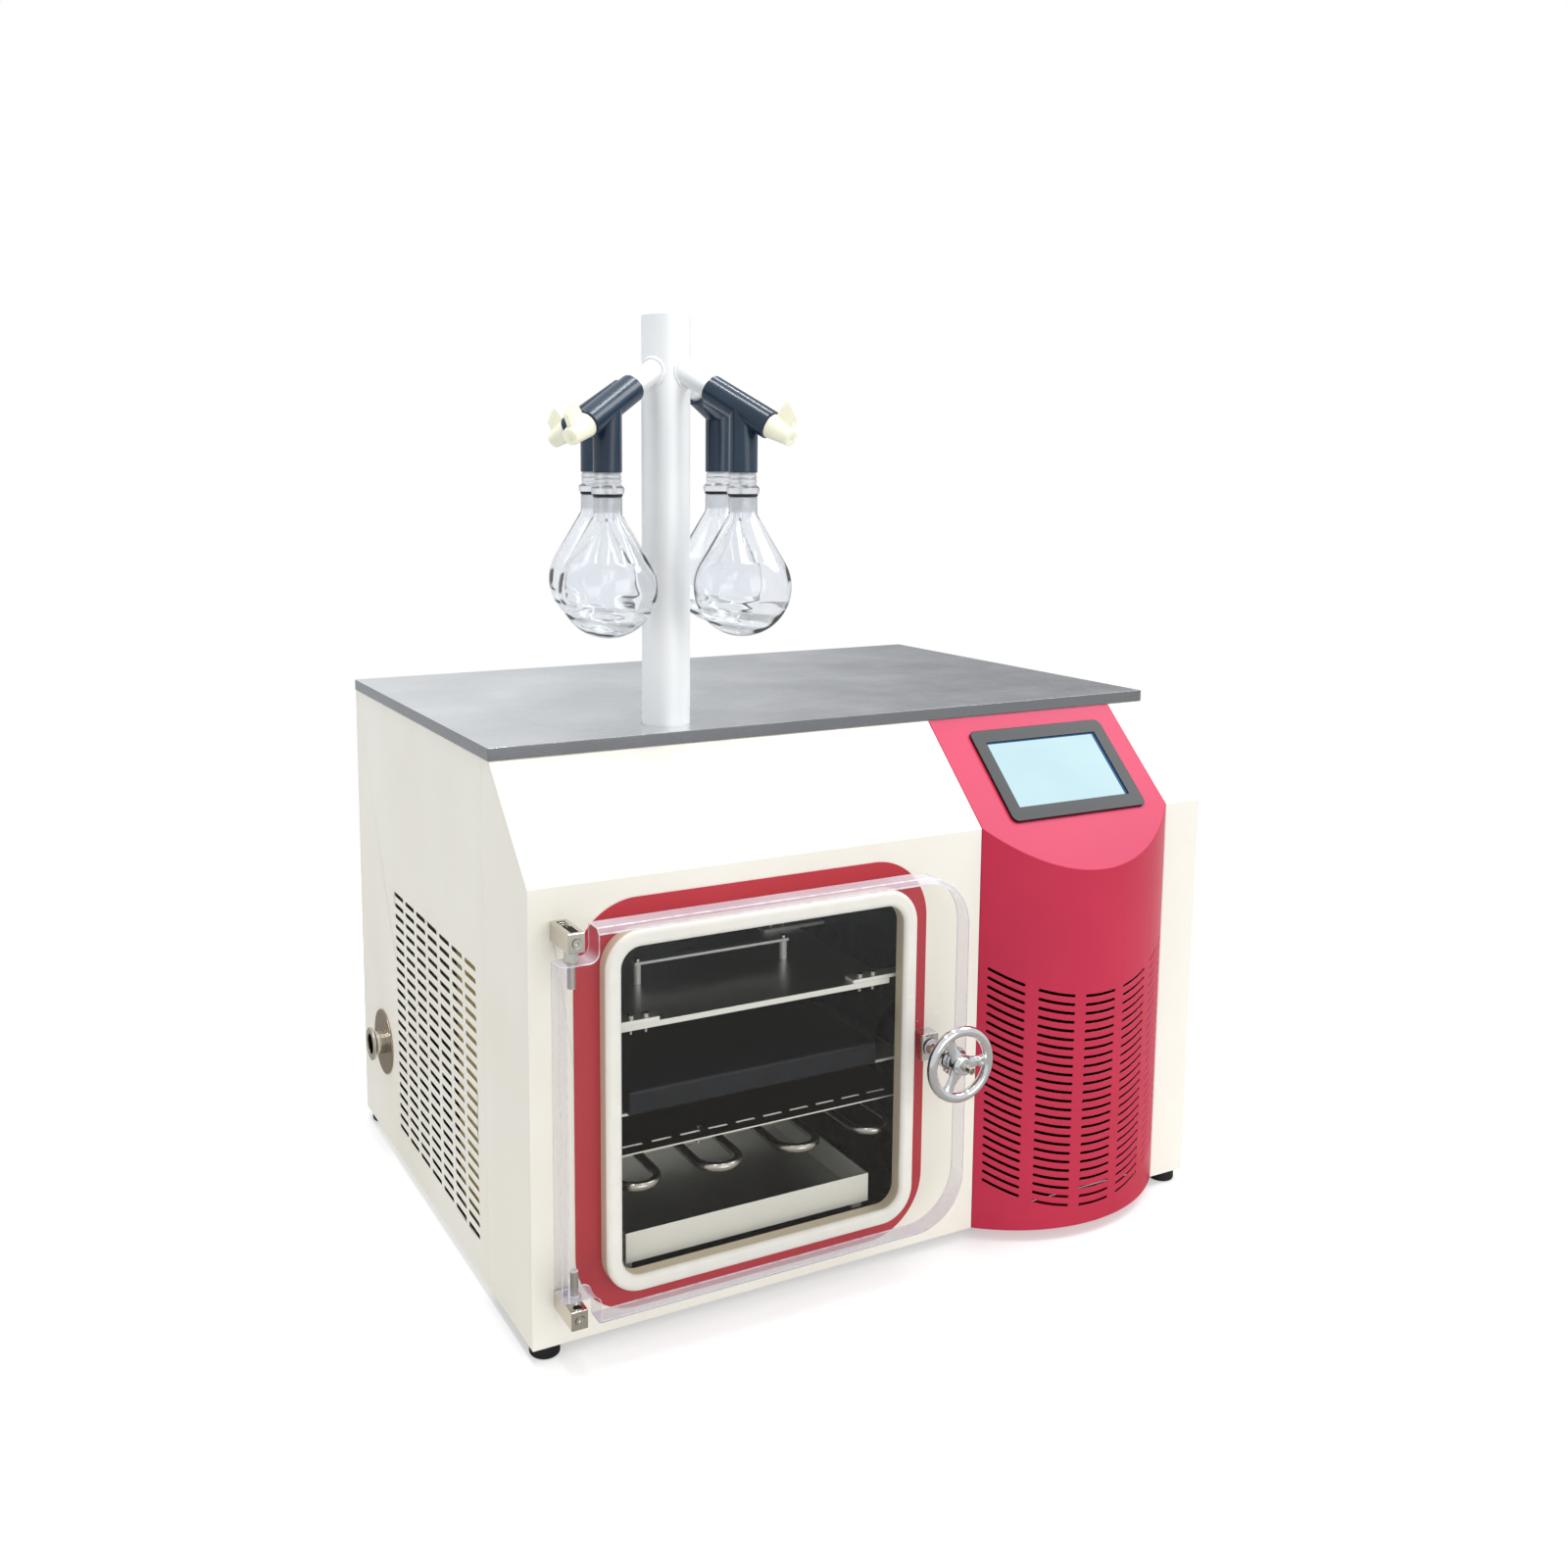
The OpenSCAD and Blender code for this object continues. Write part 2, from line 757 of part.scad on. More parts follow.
module door_seal() {
  seal_front = -door_gap + seal_gap;
  color(seal_white)
  along_y(seal_front, -surround_t)
  difference() {
    mouth_outline(seal_w);
    mouth_outline(collar_in + collar_t + groove_play);
  }
  color(seal_white)
  along_y(seal_front, -surround_t)
  difference() {
    mouth_outline(collar_in - groove_play);
    mouth_outline(0);
  }
  color(seal_white)
  along_y(seal_front, -collar_out - groove_play)
  difference() {
    mouth_outline(collar_in + collar_t + groove_play);
    mouth_outline(collar_in - groove_play);
  }
}

module red_surround() {
  color(red)
  along_y(-surround_t, 0)
  difference() {
    round_rect(mouth_x - surround_left, mouth_z - surround_below,
      mouth_w + surround_left + surround_right, mouth_h + surround_below + surround_above, surround_r);
    collar_outline(collar_play);
    // the nut block sits straight on the cabinet here
    translate([wheel_x - nut_w / 2 - seam_gap, wheel_z - nut_h / 2 - seam_gap])
      square([mouth_w, nut_h + 2 * seam_gap]);
  }
}

// --- chamber

chamber_front = sheet + chamber_wall;  // inside of the front wall
chamber_rear = chamber_front + chamber_d;  // inside of the rear wall
chamber_right = chamber_x + chamber_w;
chamber_top = chamber_z + chamber_h;
tube_hole_play = 0.5;

module chamber_liner() {
  color(liner_grey)
  difference() {
    union() {
      box(chamber_x - chamber_wall, chamber_right + chamber_wall, sheet, chamber_rear + chamber_wall,
        chamber_z - chamber_wall, chamber_top + chamber_wall);
      along_y(-collar_out, chamber_front) collar_outline(0);
    }
    box(chamber_x, chamber_right, chamber_front, chamber_rear, chamber_z, chamber_top);
    along_y(-collar_out - past, chamber_front + past) mouth_outline(collar_in);
    translate([post_x, post_y, chamber_top - past])
      cylinder(d = post_d - 2 * post_wall, h = chamber_wall + 2 * past);
    rod_y(pipe_x, port_z, port_bore_d, chamber_rear - past, chamber_rear + past);
    for (x = coil_ends) {
      rod_y(x, coil_z, coil_tube_d + 2 * tube_hole_play, chamber_rear - past, chamber_rear + past);
    }
  }
}

// Foam jacket round the chamber, open at the front
module insulation_jacket() {
  in = chamber_wall + seam_gap;
  out = in + jacket_t;
  jacket_y = tray_edge + sheet + seam_gap;
  jacket_rear = chamber_rear + out;
  pipe_hole = port_tube_d + 2 * tube_hole_play;
  color("#e8d9a8")
  difference() {
    box(chamber_x - out, chamber_right + out, jacket_y, jacket_rear,
      chamber_z - out, chamber_top + out);
    box(chamber_x - in, chamber_right + in, jacket_y - past, chamber_rear + in,
      chamber_z - in, chamber_top + in);
    // room for the latch's nut and the blocks' screws
    rod_y(wheel_x, wheel_z, washer_d, -past, jacket_t);
    for (s = rear_screws) {
      rod_y(s[0], s[1], screw_head_d + flange_w, -past, jacket_t);
    }
    translate([post_x, post_y, chamber_top]) cylinder(d = flange_d + 2 * tube_hole_play, h = out + past);
    rod_y(pipe_x, port_z, pipe_hole, chamber_rear, jacket_rear + past);
    for (x = coil_ends) {
      rod_y(x, coil_z, coil_tube_d + 2 * tube_hole_play, chamber_rear, jacket_rear + past);
    }
  }
}

// --- console

console_x = cab_w - console_margin - console_w;
console_cx = console_x + console_w / 2;
console_r = (pow(console_w / 2, 2) + pow(console_bulge, 2)) / (2 * console_bulge);
console_cy = console_r - console_bulge;

// Plan of the console, drawn in X and Y, with every edge moved in by an inset
module console_plan(inset) {
  intersection() {
    translate([console_cx, console_cy]) circle(console_r - inset, $fn = 256);
    translate([console_x + inset, -console_bulge - past])
      square([console_w - 2 * inset, console_bulge + past + eps]);
  }
  translate([console_x + inset, 0]) square([console_w - 2 * inset, slope_run + past]);
}

module console_side() {
  flange_drop = flange_w / cos(slope_angle);
  front = -console_bulge - past;
  polygon([
    [front, 0], [flange_w, 0], [flange_w, slope_z(flange_w) - flange_drop],
    [slope_run, shell_h - flange_drop], [slope_run, shell_h], [front, slope_z(front)]
  ]);
}

module console_hollow() {
  front = -console_bulge - past;
  rear = slope_run + past;
  polygon([
    [front, -past], [rear, -past], [rear, slope_z(rear) - slope_drop], [front, slope_z(front) - slope_drop]
  ]);
}

module louvres() {
  middle = (louvre_cols - 1) / 2;
  louvre_col_pitch = (console_w / 2 - louvre_side_room - louvre_l_outer + louvre_l / 2) / middle;
  for (c = [0 : louvre_cols - 1], r = [0 : louvre_rows - 1]) {
    l = abs(c - middle) == middle ? louvre_l_outer : louvre_l;
    // an outer slot keeps its inner end where a middle slot would have it
    shift = abs(c - middle) == middle ? sign(c - middle) * (louvre_l_outer - louvre_l) / 2 : 0;
    x = console_cx + (c - middle) * louvre_col_pitch + shift;
    translate([x, -console_bulge, louvre_z + r * louvre_pitch])
      rotate([90 + louvre_tilt, 0, 0])
      up(-console_bulge * 2)
      linear_extrude(console_bulge * 2 + past)
      slot(-l / 2, 0, l, louvre_h * cos(louvre_tilt));
  }
}

// Stands children on the slope: X across, Y up from its fold, Z out of it
module on_slope() {
  translate([console_cx + bezel_shift, 0, face_h]) rotate([slope_angle, 0, 0]) children();
}

bezel_rim = 6;  // frame's lip past its body
bezel_body_w = bezel_w - 2 * bezel_rim;
bezel_body_l = bezel_l - 2 * bezel_rim;
bezel_lip = 3;  // lip over the display's edge
display_play = 0.2;

module console_shell() {
  color(console_red)
  difference() {
    intersection() {
      linear_extrude(shell_h) console_plan(0);
      along_x(console_x, console_x + console_w) console_side();
    }
    intersection() {
      up(sheet) linear_extrude(shell_h) console_plan(sheet);
      along_x(console_x + sheet, console_x + console_w - sheet) console_hollow();
    }
    louvres();
    on_slope() translate([-bezel_body_w / 2 - seam_gap, bezel_up + bezel_rim - seam_gap, -past])
      cube([bezel_body_w + 2 * seam_gap, bezel_body_l + 2 * seam_gap, 2 * past]);
  }
}

module screen_bezel() {
  color("#161616")
  on_slope()
  translate([0, bezel_up, 0])
  difference() {
    union() {
      linear_extrude(bezel_proud) round_rect(-bezel_w / 2, 0, bezel_w, bezel_l, bezel_r);
      translate([-bezel_body_w / 2, bezel_rim, -bezel_depth])
        cube([bezel_body_w, bezel_body_l, bezel_depth + eps]);
    }
    translate([-window_w / 2, (bezel_l - window_l) / 2, -past])
      cube([window_w, window_l, bezel_proud + 2 * past]);
    translate([-window_w / 2 - bezel_lip, (bezel_l - window_l) / 2 - bezel_lip, -bezel_depth - past])
      cube([window_w + 2 * bezel_lip, window_l + 2 * bezel_lip, bezel_depth + past + display_seat]);
  }
}

display_seat = 1;  // display's face above the slope

module screen_glass() {
  w = window_w + 2 * (bezel_lip - display_play);
  l = window_l + 2 * (bezel_lip - display_play);
  color("#cdecf2")
  on_slope() translate([-w / 2, bezel_up + (bezel_l - l) / 2, display_seat - display_t])
    cube([w, l, display_t]);
}

module control_board() {
  // lies against the back of the frame, its parts towards the display
  chip = 18;
  chip_t = 4;
  color("#2f7d4f")
  on_slope() translate([0, bezel_up + bezel_l / 2, -bezel_depth]) {
    translate([-bezel_body_w / 2, -bezel_body_l / 2, -board_t]) cube([bezel_body_w, bezel_body_l, board_t]);
    for (x = [-bezel_body_w / 4, bezel_body_w / 4]) {
      translate([x - chip / 2, -chip / 2, 0]) cube([chip, chip, chip_t]);
    }
  }
}

// --- vacuum port

pipe_x = port_in + pipe_bend_r;

module vacuum_port_plate() {
  color(stainless)
  difference() {
    rod_x(port_y, port_z, port_disc_d, -port_disc_t, 0);
    rod_x(port_y, port_z, port_tube_d + 2 * seam_gap, -past, past);
  }
}

module vacuum_port() {
  flange_rim = 3;
  flange_cone = 2.4;
  color(chrome)
  translate([-port_out, port_y, port_z]) rotate([0, 90, 0])
  difference() {
    union() {
      cylinder(d = port_flange_d, h = flange_rim);
      up(flange_rim) cylinder(d1 = port_flange_d, d2 = port_tube_d, h = flange_cone);
      cylinder(d = port_tube_d, h = port_out + port_in);
    }
    up(-past) cylinder(d = port_bore_d, h = port_out + port_in + 2 * past);
  }
}

module pipe_bend(d) {
  translate([port_in, port_y - pipe_bend_r, port_z])
    rotate_extrude(angle = 90) translate([pipe_bend_r, 0]) circle(d = d);
}

module vacuum_pipe() {
  bend_end = port_y - pipe_bend_r;
  color(chrome)
  difference() {
    union() {
      pipe_bend(port_tube_d);
      rod_y(pipe_x, port_z, port_tube_d, chamber_rear + chamber_wall, bend_end);
    }
    pipe_bend(port_bore_d);
    rod_y(pipe_x, port_z, port_bore_d, chamber_rear, bend_end);
  }
}

// --- hinge

hinge_x = door_x - notch_w + hinge_inset;
block_x = hinge_x - block_left;
door_back = -door_gap;
door_front = -door_gap - door_t;
door_top = door_z + door_h;
wing_low = door_z + notch_h;
wing_high = door_top - notch_h;
block_out = 45;  // depth of a hinge block
low_block_z = door_z + low_block_up;  // underside of the lower block
high_block_z = door_top - block_h;  // underside of the upper block
screw_head_d = 8.5;
screw_head_h = 5;
screw_shank_d = 5;
screw_hole_play = 0.1;
block_screw_l = 10;
block_screw_shift = 3;  // a block's rear screw from the hinge axis
nut_screw_shift = 5;  // the nut's screws clear the chamber's wall
nut_screw_out = 10;

// Screws that hold the blocks and the nut from inside, as [x, z]
block_screws = [for (z = [low_block_z, high_block_z]) [hinge_x - block_screw_shift, z + block_h / 2]];
nut_screws = [for (side = [-1, 1]) [wheel_x + nut_screw_shift, wheel_z + side * nut_screw_out]];
rear_screws = concat(block_screws, nut_screws);

module hinge_blocks() {
  slot_w = 6;
  slot_l = 16;
  slot_depth = 3;
  color(chrome)
  for (low = [true, false]) {
    z = low ? low_block_z : high_block_z;
    hole_z = low ? z + block_h - pin_in_block : z - past;
    difference() {
      box(block_x, block_x + block_w, -block_out, 0, z, z + block_h);
      translate([hinge_x, -hinge_out, hole_z])
        cylinder(d = pin_d + 2 * pin_play, h = pin_in_block + past);
      // locking screw of the pin
      rod_y(hinge_x, z + block_h / 2, screw_shank_d + 2 * screw_hole_play,
         -block_out - past, -hinge_out);
      rod_y(hinge_x, z + block_h / 2, screw_head_d + 2 * screw_hole_play,
         -block_out - past, -block_out + screw_head_h - 1);
      rod_y(hinge_x - block_screw_shift, z + block_h / 2, screw_shank_d + 2 * screw_hole_play,
         -block_screw_l, past);
      // slot in the upper block's top face
      if (!low) {
        translate([block_x + block_w / 2, -slot_l, z + block_h - slot_depth])
          rotate([0, 0, 90])
          linear_extrude(slot_depth + past) slot(-slot_l / 2, 0, slot_l, slot_w);
      }
    }
  }
}

module hinge_pins() {
  color(chrome)
  for (low = [true, false]) {
    block_end = low ? low_block_z + block_h : high_block_z;
    wing_end = low ? wing_low - shoulder_play : wing_high + shoulder_play;
    shoulder_low = min(block_end, wing_end);
    pin_low = low ? block_end - pin_in_block + 1 : wing_end - pin_in_door + 1;
    pin_high = low ? wing_end + pin_in_door - 1 : block_end + pin_in_block - 1;
    translate([hinge_x, -hinge_out, shoulder_low])
      cylinder(d = shoulder_d, h = abs(block_end - wing_end));
    translate([hinge_x, -hinge_out, pin_low]) cylinder(d = pin_d, h = pin_high - pin_low);
  }
}

// Cap screw along Y, head at the front; a negative length turns it round
module cap_screw(x, y, z, l) {
  socket_d = 4;
  translate([x, y, z]) rotate([l > 0 ? -90 : 90, 0, 0])
  difference() {
    union() {
      up(-screw_head_h) cylinder(d = screw_head_d, h = screw_head_h);
      cylinder(d = screw_shank_d, h = abs(l));
    }
    up(-screw_head_h - past) cylinder(d = socket_d, h = past + screw_head_h / 2, $fn = 6);
  }
}

shelf_screw_d = 4;
shelf_screw_head_d = 7;
shelf_screw_head_h = 3;
shelf_screw_l = 16;

// Screw that stands on a shelf part with its head up
module standing_screw(x, y, z) {
  translate([x, y, z]) cylinder(d = shelf_screw_head_d, h = shelf_screw_head_h);
  translate([x, y, z - shelf_screw_l]) cylinder(d = shelf_screw_d, h = shelf_screw_l + eps);
}

module fixing_screws() {
  color(chrome) {
    for (z = [low_block_z, high_block_z]) {
      cap_screw(hinge_x, -block_out + screw_head_h - 1, z + block_h / 2,
           block_out - hinge_out - pin_d / 2 - screw_head_h + 1 - screw_hole_play);
    }
    for (s = rear_screws) {
      cap_screw(s[0], sheet, s[1], -block_screw_l);
    }
    for (p = bracket_screws) {
      standing_screw(p[0], p[1], shelf_z + shelf_t + bracket_t);
    }
    for (x = handle_posts) {
      standing_screw(x, chamber_front + handle_y, shelf_z + shelf_t + handle_h + handle_t);
    }
    standing_screw(baffle_screw_x, baffle_screw_y, baffle_z + baffle_t);
  }
}

// --- door

// Outline of the door, with a notch for each hinge block
module door_outline() {
  left = door_x - notch_w;
  right = door_x + door_w;
  r = door_corner_r;
  difference() {
    union() {
      translate([left, door_z]) square([right - left - r, door_h]);
      translate([left, door_z + r]) square([right - left, door_h - 2 * r]);
      for (z = [door_z + r, door_top - r]) {
        translate([right - r, z]) circle(r);
      }
    }
    round_rect(left - notch_w, wing_high, 2 * notch_w, 2 * notch_h, notch_r);
    round_rect(left - notch_w, wing_low - 2 * notch_h, 2 * notch_w, 2 * notch_h, notch_r);
  }
}

// Bevelled block that the door's front layer is cut to
module door_bevels(y0, y1) {
  left = door_x - notch_w;
  right = door_x + door_w;
  r = door_corner_r;
  b = door_bevel;
  intersection() {
    union() {
      along_x(left, right - r)
      polygon([[y0, door_z + b], [y1, door_z], [y1, door_top], [y0, door_top - b]]);
      up(door_z + r) linear_extrude(door_h - 2 * r)
      polygon([[left, y0], [right - b, y0], [right, y1], [left, y1]]);
      for (z = [door_z + r, door_top - r]) {
        translate([right - r, y1, z]) rotate([90, 0, 0]) cylinder(r1 = r, r2 = r - b, h = b);
      }
    }
    up(door_z - past) linear_extrude(door_h + 2 * past)
    polygon([[left + b, y0], [right + past, y0], [right + past, y1], [left, y1]]);
  }
}

module door_plate() {
  bevel_end = door_front + door_bevel;
  color("#dfe8ee", 0.5)
  difference() {
    union() {
      along_y(bevel_end, door_back) door_outline();
      intersection() {
        along_y(door_front - past, bevel_end) door_outline();
        door_bevels(door_front, bevel_end);
      }
    }
    for (up = [true, false]) {
      translate([hinge_x, -hinge_out, up ? wing_high - pin_in_door : wing_low - past])
      cylinder(d = pin_d + 2 * pin_play, h = pin_in_door + past);
    }
    rod_y(wheel_x, wheel_z, bushing_body_d, door_front - past, door_back + past);
  }
}

// --- latch

screw_hole_d = screw_d + 2 * screw_play;
bushing_front = door_front - bushing_flange_t;
latch_slack = 0.5;  // room behind the washer when the screw is tight
hub_gap = 0.3;  // room between the washer and the hub
tip_gap = 0.8;  // room between the open screw's tip and the nut
washer_back = bushing_front - clamp_travel - latch_slack;
washer_front = washer_back - washer_t;
hub_back = washer_front - hub_gap;
screw_tip = -nut_d - tip_gap;
stud_front = door_front - stud_out;
wheel_y = door_front - wheel_out;

module screw_bushing() {
  color(chrome)
  difference() {
    union() {
      rod_y(wheel_x, wheel_z, bushing_body_d, door_front, door_back);
      rod_y(wheel_x, wheel_z, bushing_d, bushing_front, door_front);
    }
    rod_y(wheel_x, wheel_z, screw_hole_d, bushing_front - past, door_back + past);
  }
}

module clamp_washer() {
  color(chrome)
  difference() {
    rod_y(wheel_x, wheel_z, washer_d, washer_front, washer_back);
    rod_y(wheel_x, wheel_z, screw_hole_d, washer_front - past, washer_back + past);
  }
}

module clamp_screw() {
  recess_d = 5;
  recess = 6;
  color(chrome)
  difference() {
    union() {
      rod_y(wheel_x, wheel_z, screw_d, hub_back, screw_tip);
      rod_y(wheel_x, wheel_z, stud_d, stud_front, hub_back);
    }
    rod_y(wheel_x, wheel_z, recess_d, stud_front - past, stud_front + recess);
  }
}

module handwheel() {
  hub_reach = 9;  // hub's front from the rim's middle
  spoke_taper = 0.7;
  boss_at = 0.7;  // boss along its spoke, as a share of the rim's radius
  rim_r = (wheel_d - wheel_rim_d) / 2;
  hub_front = wheel_y - hub_reach;
  tip_w = spoke_w * spoke_taper;
  boss_d = 9;
  boss_h = 2;
  color(chrome)
  difference() {
    union() {
      translate([wheel_x, wheel_y, wheel_z]) rotate([90, 0, 0])
        rotate_extrude() translate([rim_r, 0]) circle(d = wheel_rim_d);
      rod_y(wheel_x, wheel_z, wheel_hub_d, hub_front, hub_back);
      for (a = [0, 120, 240]) {
        translate([wheel_x, 0, wheel_z]) rotate([0, -a, 0])
          along_y(wheel_y - spoke_t / 2, wheel_y + spoke_t / 2)
          polygon([[0, -spoke_w / 2], [rim_r, -tip_w / 2], [rim_r, tip_w / 2], [0, spoke_w / 2]]);
      }
      translate([rim_r * boss_at, 0, 0])
        rod_y(wheel_x, wheel_z, boss_d, wheel_y - spoke_t / 2 - boss_h, wheel_y);
    }
    rod_y(wheel_x, wheel_z, stud_d + 2 * screw_play, hub_front - past, hub_back + past);
  }
}

module latch_nut() {
  color(chrome)
  difference() {
    box(wheel_x - nut_w / 2, wheel_x + nut_w / 2, -nut_d, 0, wheel_z - nut_h / 2, wheel_z + nut_h / 2);
    rod_y(wheel_x, wheel_z, screw_d + 2 * nut_play, -nut_d - past, past);
    for (s = nut_screws) {
      rod_y(s[0], s[1], screw_shank_d + 2 * screw_hole_play, -block_screw_l - screw_hole_play, past);
    }
  }
}

// --- manifold

post_end = plate_top + post_top;
flange_rim = 20;
flange_d = post_d + 2 * flange_rim;
flange_t = 12;
flange_socket = 8;
flange_low = chamber_top + chamber_wall;
post_low = flange_low + flange_t - flange_socket;
branch_z = plate_top + branch_up;  // where the branch axes meet the post's axis
branch_cos = cos(branch_slope);

// Turns children to branch i, with X pointing away from the post
module at_branch(i) {
  translate([post_x, post_y, 0]) rotate([0, 0, branch_bearing + 90 * (i - 1)]) children();
}

// Runs children's Z along a branch, from the post's axis
module along_branch() {
  up(branch_z) rotate([0, 90 + branch_slope, 0]) children();
}

near_t = valve_near / branch_cos;  // distances along a branch axis
far_t = valve_far / branch_cos;
leg_t = leg_r / branch_cos;
leg_top = branch_z - leg_r * tan(branch_slope);
leg_low = leg_top - leg_l;
stub_end = near_t + stub_in_valve;

module manifold_post() {
  bore = post_d - 2 * post_wall;
  color(aluminium)
  difference() {
    union() {
      translate([post_x, post_y, post_low]) cylinder(d = post_d, h = post_end - post_low);
      for (i = [1 : 4]) {
        at_branch(i) along_branch() {
          cylinder(d1 = stub_root_d, d2 = stub_d, h = near_t);
          cylinder(d = stub_d, h = stub_end);
        }
      }
    }
    translate([post_x, post_y, post_low - past])
      cylinder(d = bore, h = post_end - post_low + past - post_wall);
    for (i = [1 : 4]) {
      at_branch(i) along_branch() cylinder(d = stub_bore_d, h = stub_end + past);
    }
  }
}

module post_flange() {
  color(aluminium)
  translate([post_x, post_y, flange_low])
  difference() {
    cylinder(d = flange_d, h = flange_t);
    up(-past) cylinder(d = post_d - 2 * post_wall, h = flange_t + 2 * past);
    up(flange_t - flange_socket) cylinder(d = post_d + 2 * joint_play, h = flange_socket + past);
  }
}

plug_d = stub_d;  // the plug turns in the bore that holds the stub
plug_reach = 14;  // plug's inner end from the leg's axis
plug_inner = leg_t - plug_reach;

module valve_body(i) {
  color(rubber_black)
  at_branch(i)
  difference() {
    union() {
      along_branch() up(near_t) cylinder(d = valve_d, h = far_t - near_t);
      translate([leg_r, 0, leg_low]) cylinder(d = valve_d, h = leg_l);
    }
    along_branch() up(near_t - past)
      cylinder(d = plug_d + 2 * plug_play, h = far_t - near_t + 2 * past);
    translate([leg_r, 0, leg_low - past]) cylinder(d = leg_bore_d, h = leg_l + past);
  }
}

// Lever's outline: X along the branch, Y away from its axis
module lever_outline() {
  tip = [lever_in + lever_r, lever_reach - lever_r];
  end = tip + [lever_w - 2 * lever_r, -lever_drop];
  lean = atan2(lever_drop, lever_w - 2 * lever_r);
  side = lever_r * [sin(lean), cos(lean)];
  polygon([
    [eps, 0], [lever_in, tip.y], tip + side, end + side, [end.x + lever_r, end.y], [end.x + lever_r, 0]
  ]);
  for (c = [tip, end]) {
    translate(c) circle(lever_r);
  }
}

module valve_knob(i) {
  port_d = 11;
  recess_d = 7;
  recess = 2;
  color(ivory)
  at_branch(i) along_branch()
  difference() {
    union() {
      up(plug_inner) cylinder(d = plug_d, h = far_t + knob_gap - plug_inner + eps);
      up(far_t + knob_gap) cylinder(d1 = knob_root_d, d2 = knob_tip_d, h = knob_l);
      up(far_t + knob_gap) rotate([0, -90, 0]) along_y(-lever_t / 2, lever_t / 2) lever_outline();
    }
    up(plug_inner - past) cylinder(d = port_d, h = leg_t - plug_inner + port_d / 2 + past);
    up(leg_t) rotate([0, -90 - branch_slope, 0]) up(-plug_d)
      cylinder(d = port_d, h = plug_d);
    up(far_t + knob_gap + knob_l - recess) cylinder(d = recess_d, h = recess + past);
  }
}

// --- flasks

rib_low = leg_low - adapter_rib_h;
collar_low = rib_low - adapter_collar_h;
neck_top = collar_low - ring_t;
neck_low = neck_top - neck_l;
bulb_z = neck_low - bulb_drop;
joint_below = 8;  // ground joint below the neck
socket_l = neck_l + joint_below;  // length of the ground joint
spigot_l = 18;  // length of the adapter inside the valve

// Radius of the ground joint at height z, inside the flask's socket
function socket_r(z) =
  socket_low_d / 2 + (socket_d - socket_low_d) / 2 * (z - neck_top + socket_l) / socket_l;

module glass_adapter(i) {
  rib_step = adapter_rib_h / 3;
  rib_groove = 1.2;
  rib_r = adapter_rib_d / 2;
  spigot_r = leg_bore_d / 2 - joint_play;
  color(glass, 0.5)
  at_branch(i) translate([leg_r, 0, 0])
  rotate_extrude()
  polygon([
    [adapter_bore_d / 2, neck_top - socket_l + joint_play],
    [socket_r(neck_top - socket_l) - joint_play, neck_top - socket_l + joint_play],
    [socket_r(collar_low) - joint_play, collar_low],
    [adapter_collar_d / 2, collar_low],
    [adapter_collar_d / 2, rib_low - 1],
    [rib_r - rib_groove, rib_low],
    for (k = [0 : 2]) each [
      [rib_r, rib_low + rib_step * k + rib_step * 0.25],
      [rib_r, rib_low + rib_step * k + rib_step * 0.75],
      [rib_r - rib_groove, rib_low + rib_step * (k + 1) - (k == 2 ? joint_play : 0)]
    ],
    [spigot_r, leg_low - joint_play],
    [spigot_r, leg_low + spigot_l],
    [adapter_bore_d / 2, leg_low + spigot_l]
  ]);
}

// Half section of a flask's surface
module flask_section(bulb, low_r, high_r, low_z, high_z) {
  a = touch_angle(low_r, low_z - bulb_z, bulb);
  intersection() {
    union() {
      translate([0, bulb_z]) circle(bulb);
      polygon([
        [0, bulb_z], [bulb * cos(a), bulb_z + bulb * sin(a)], [low_r, low_z], [high_r, high_z], [0, high_z]
      ]);
    }
    translate([0, bulb_z - 2 * bulb]) square([2 * bulb, high_z - bulb_z + 2 * bulb]);
  }
}

module flask(i) {
  color(glass, 0.5)
  at_branch(i) translate([leg_r, 0, 0])
  rotate_extrude()
  difference() {
    flask_section(flask_d / 2, neck_d / 2, neck_d / 2, neck_low, neck_top);
    flask_section(flask_d / 2 - flask_wall, socket_low_d / 2, socket_d / 2, neck_top - socket_l, neck_top);
    // opens the socket's mouth cleanly
    translate([0, neck_top - eps]) square([socket_d / 2, past]);
  }
}

module joint_rings() {
  ring_r = socket_r(collar_low) + ring_t / 2;
  color("#15181c")
  for (i = [1 : 4]) {
    at_branch(i) translate([leg_r, 0, neck_top + ring_t / 2])
      rotate_extrude() translate([ring_r, 0]) circle(d = ring_t);
  }
}

// --- inside chamber

shelf_x = chamber_x + shelf_left;
shelf_right = chamber_right - shelf_right_gap;
shelf_z = chamber_z + shelf_up;
handle_x = shelf_x + handle_in;
heater_x = chamber_x + heater_left;
heater_w = chamber_w - heater_left - heater_right;
heater_z = chamber_z + heater_up;
baffle_z = chamber_z + baffle_up;
drip_x = chamber_x + drip_left;
drip_w = chamber_w - drip_left - drip_right;
shelf_inset = 1;  // gap between the shelf and the front wall
bracket_screw_pitch = 16;
bracket_screws = [
  for (side = [-1, 1], y = [0, 1], k = [0, 1])
    [side < 0 ? shelf_x + bracket_screw_pitch * (1 + k) : shelf_right - bracket_screw_pitch * (1 + k),
     chamber_front + shelf_inset + bracket_d / 2 + y * (shelf_d - bracket_d)]
];
handle_posts = [handle_x + handle_w / 2, handle_x + handle_l - handle_w / 2];
baffle_screw_in = [139.5, 36];  // from the chamber's left and front walls
baffle_screw_x = chamber_x + baffle_screw_in[0];
baffle_screw_y = chamber_front + baffle_screw_in[1];

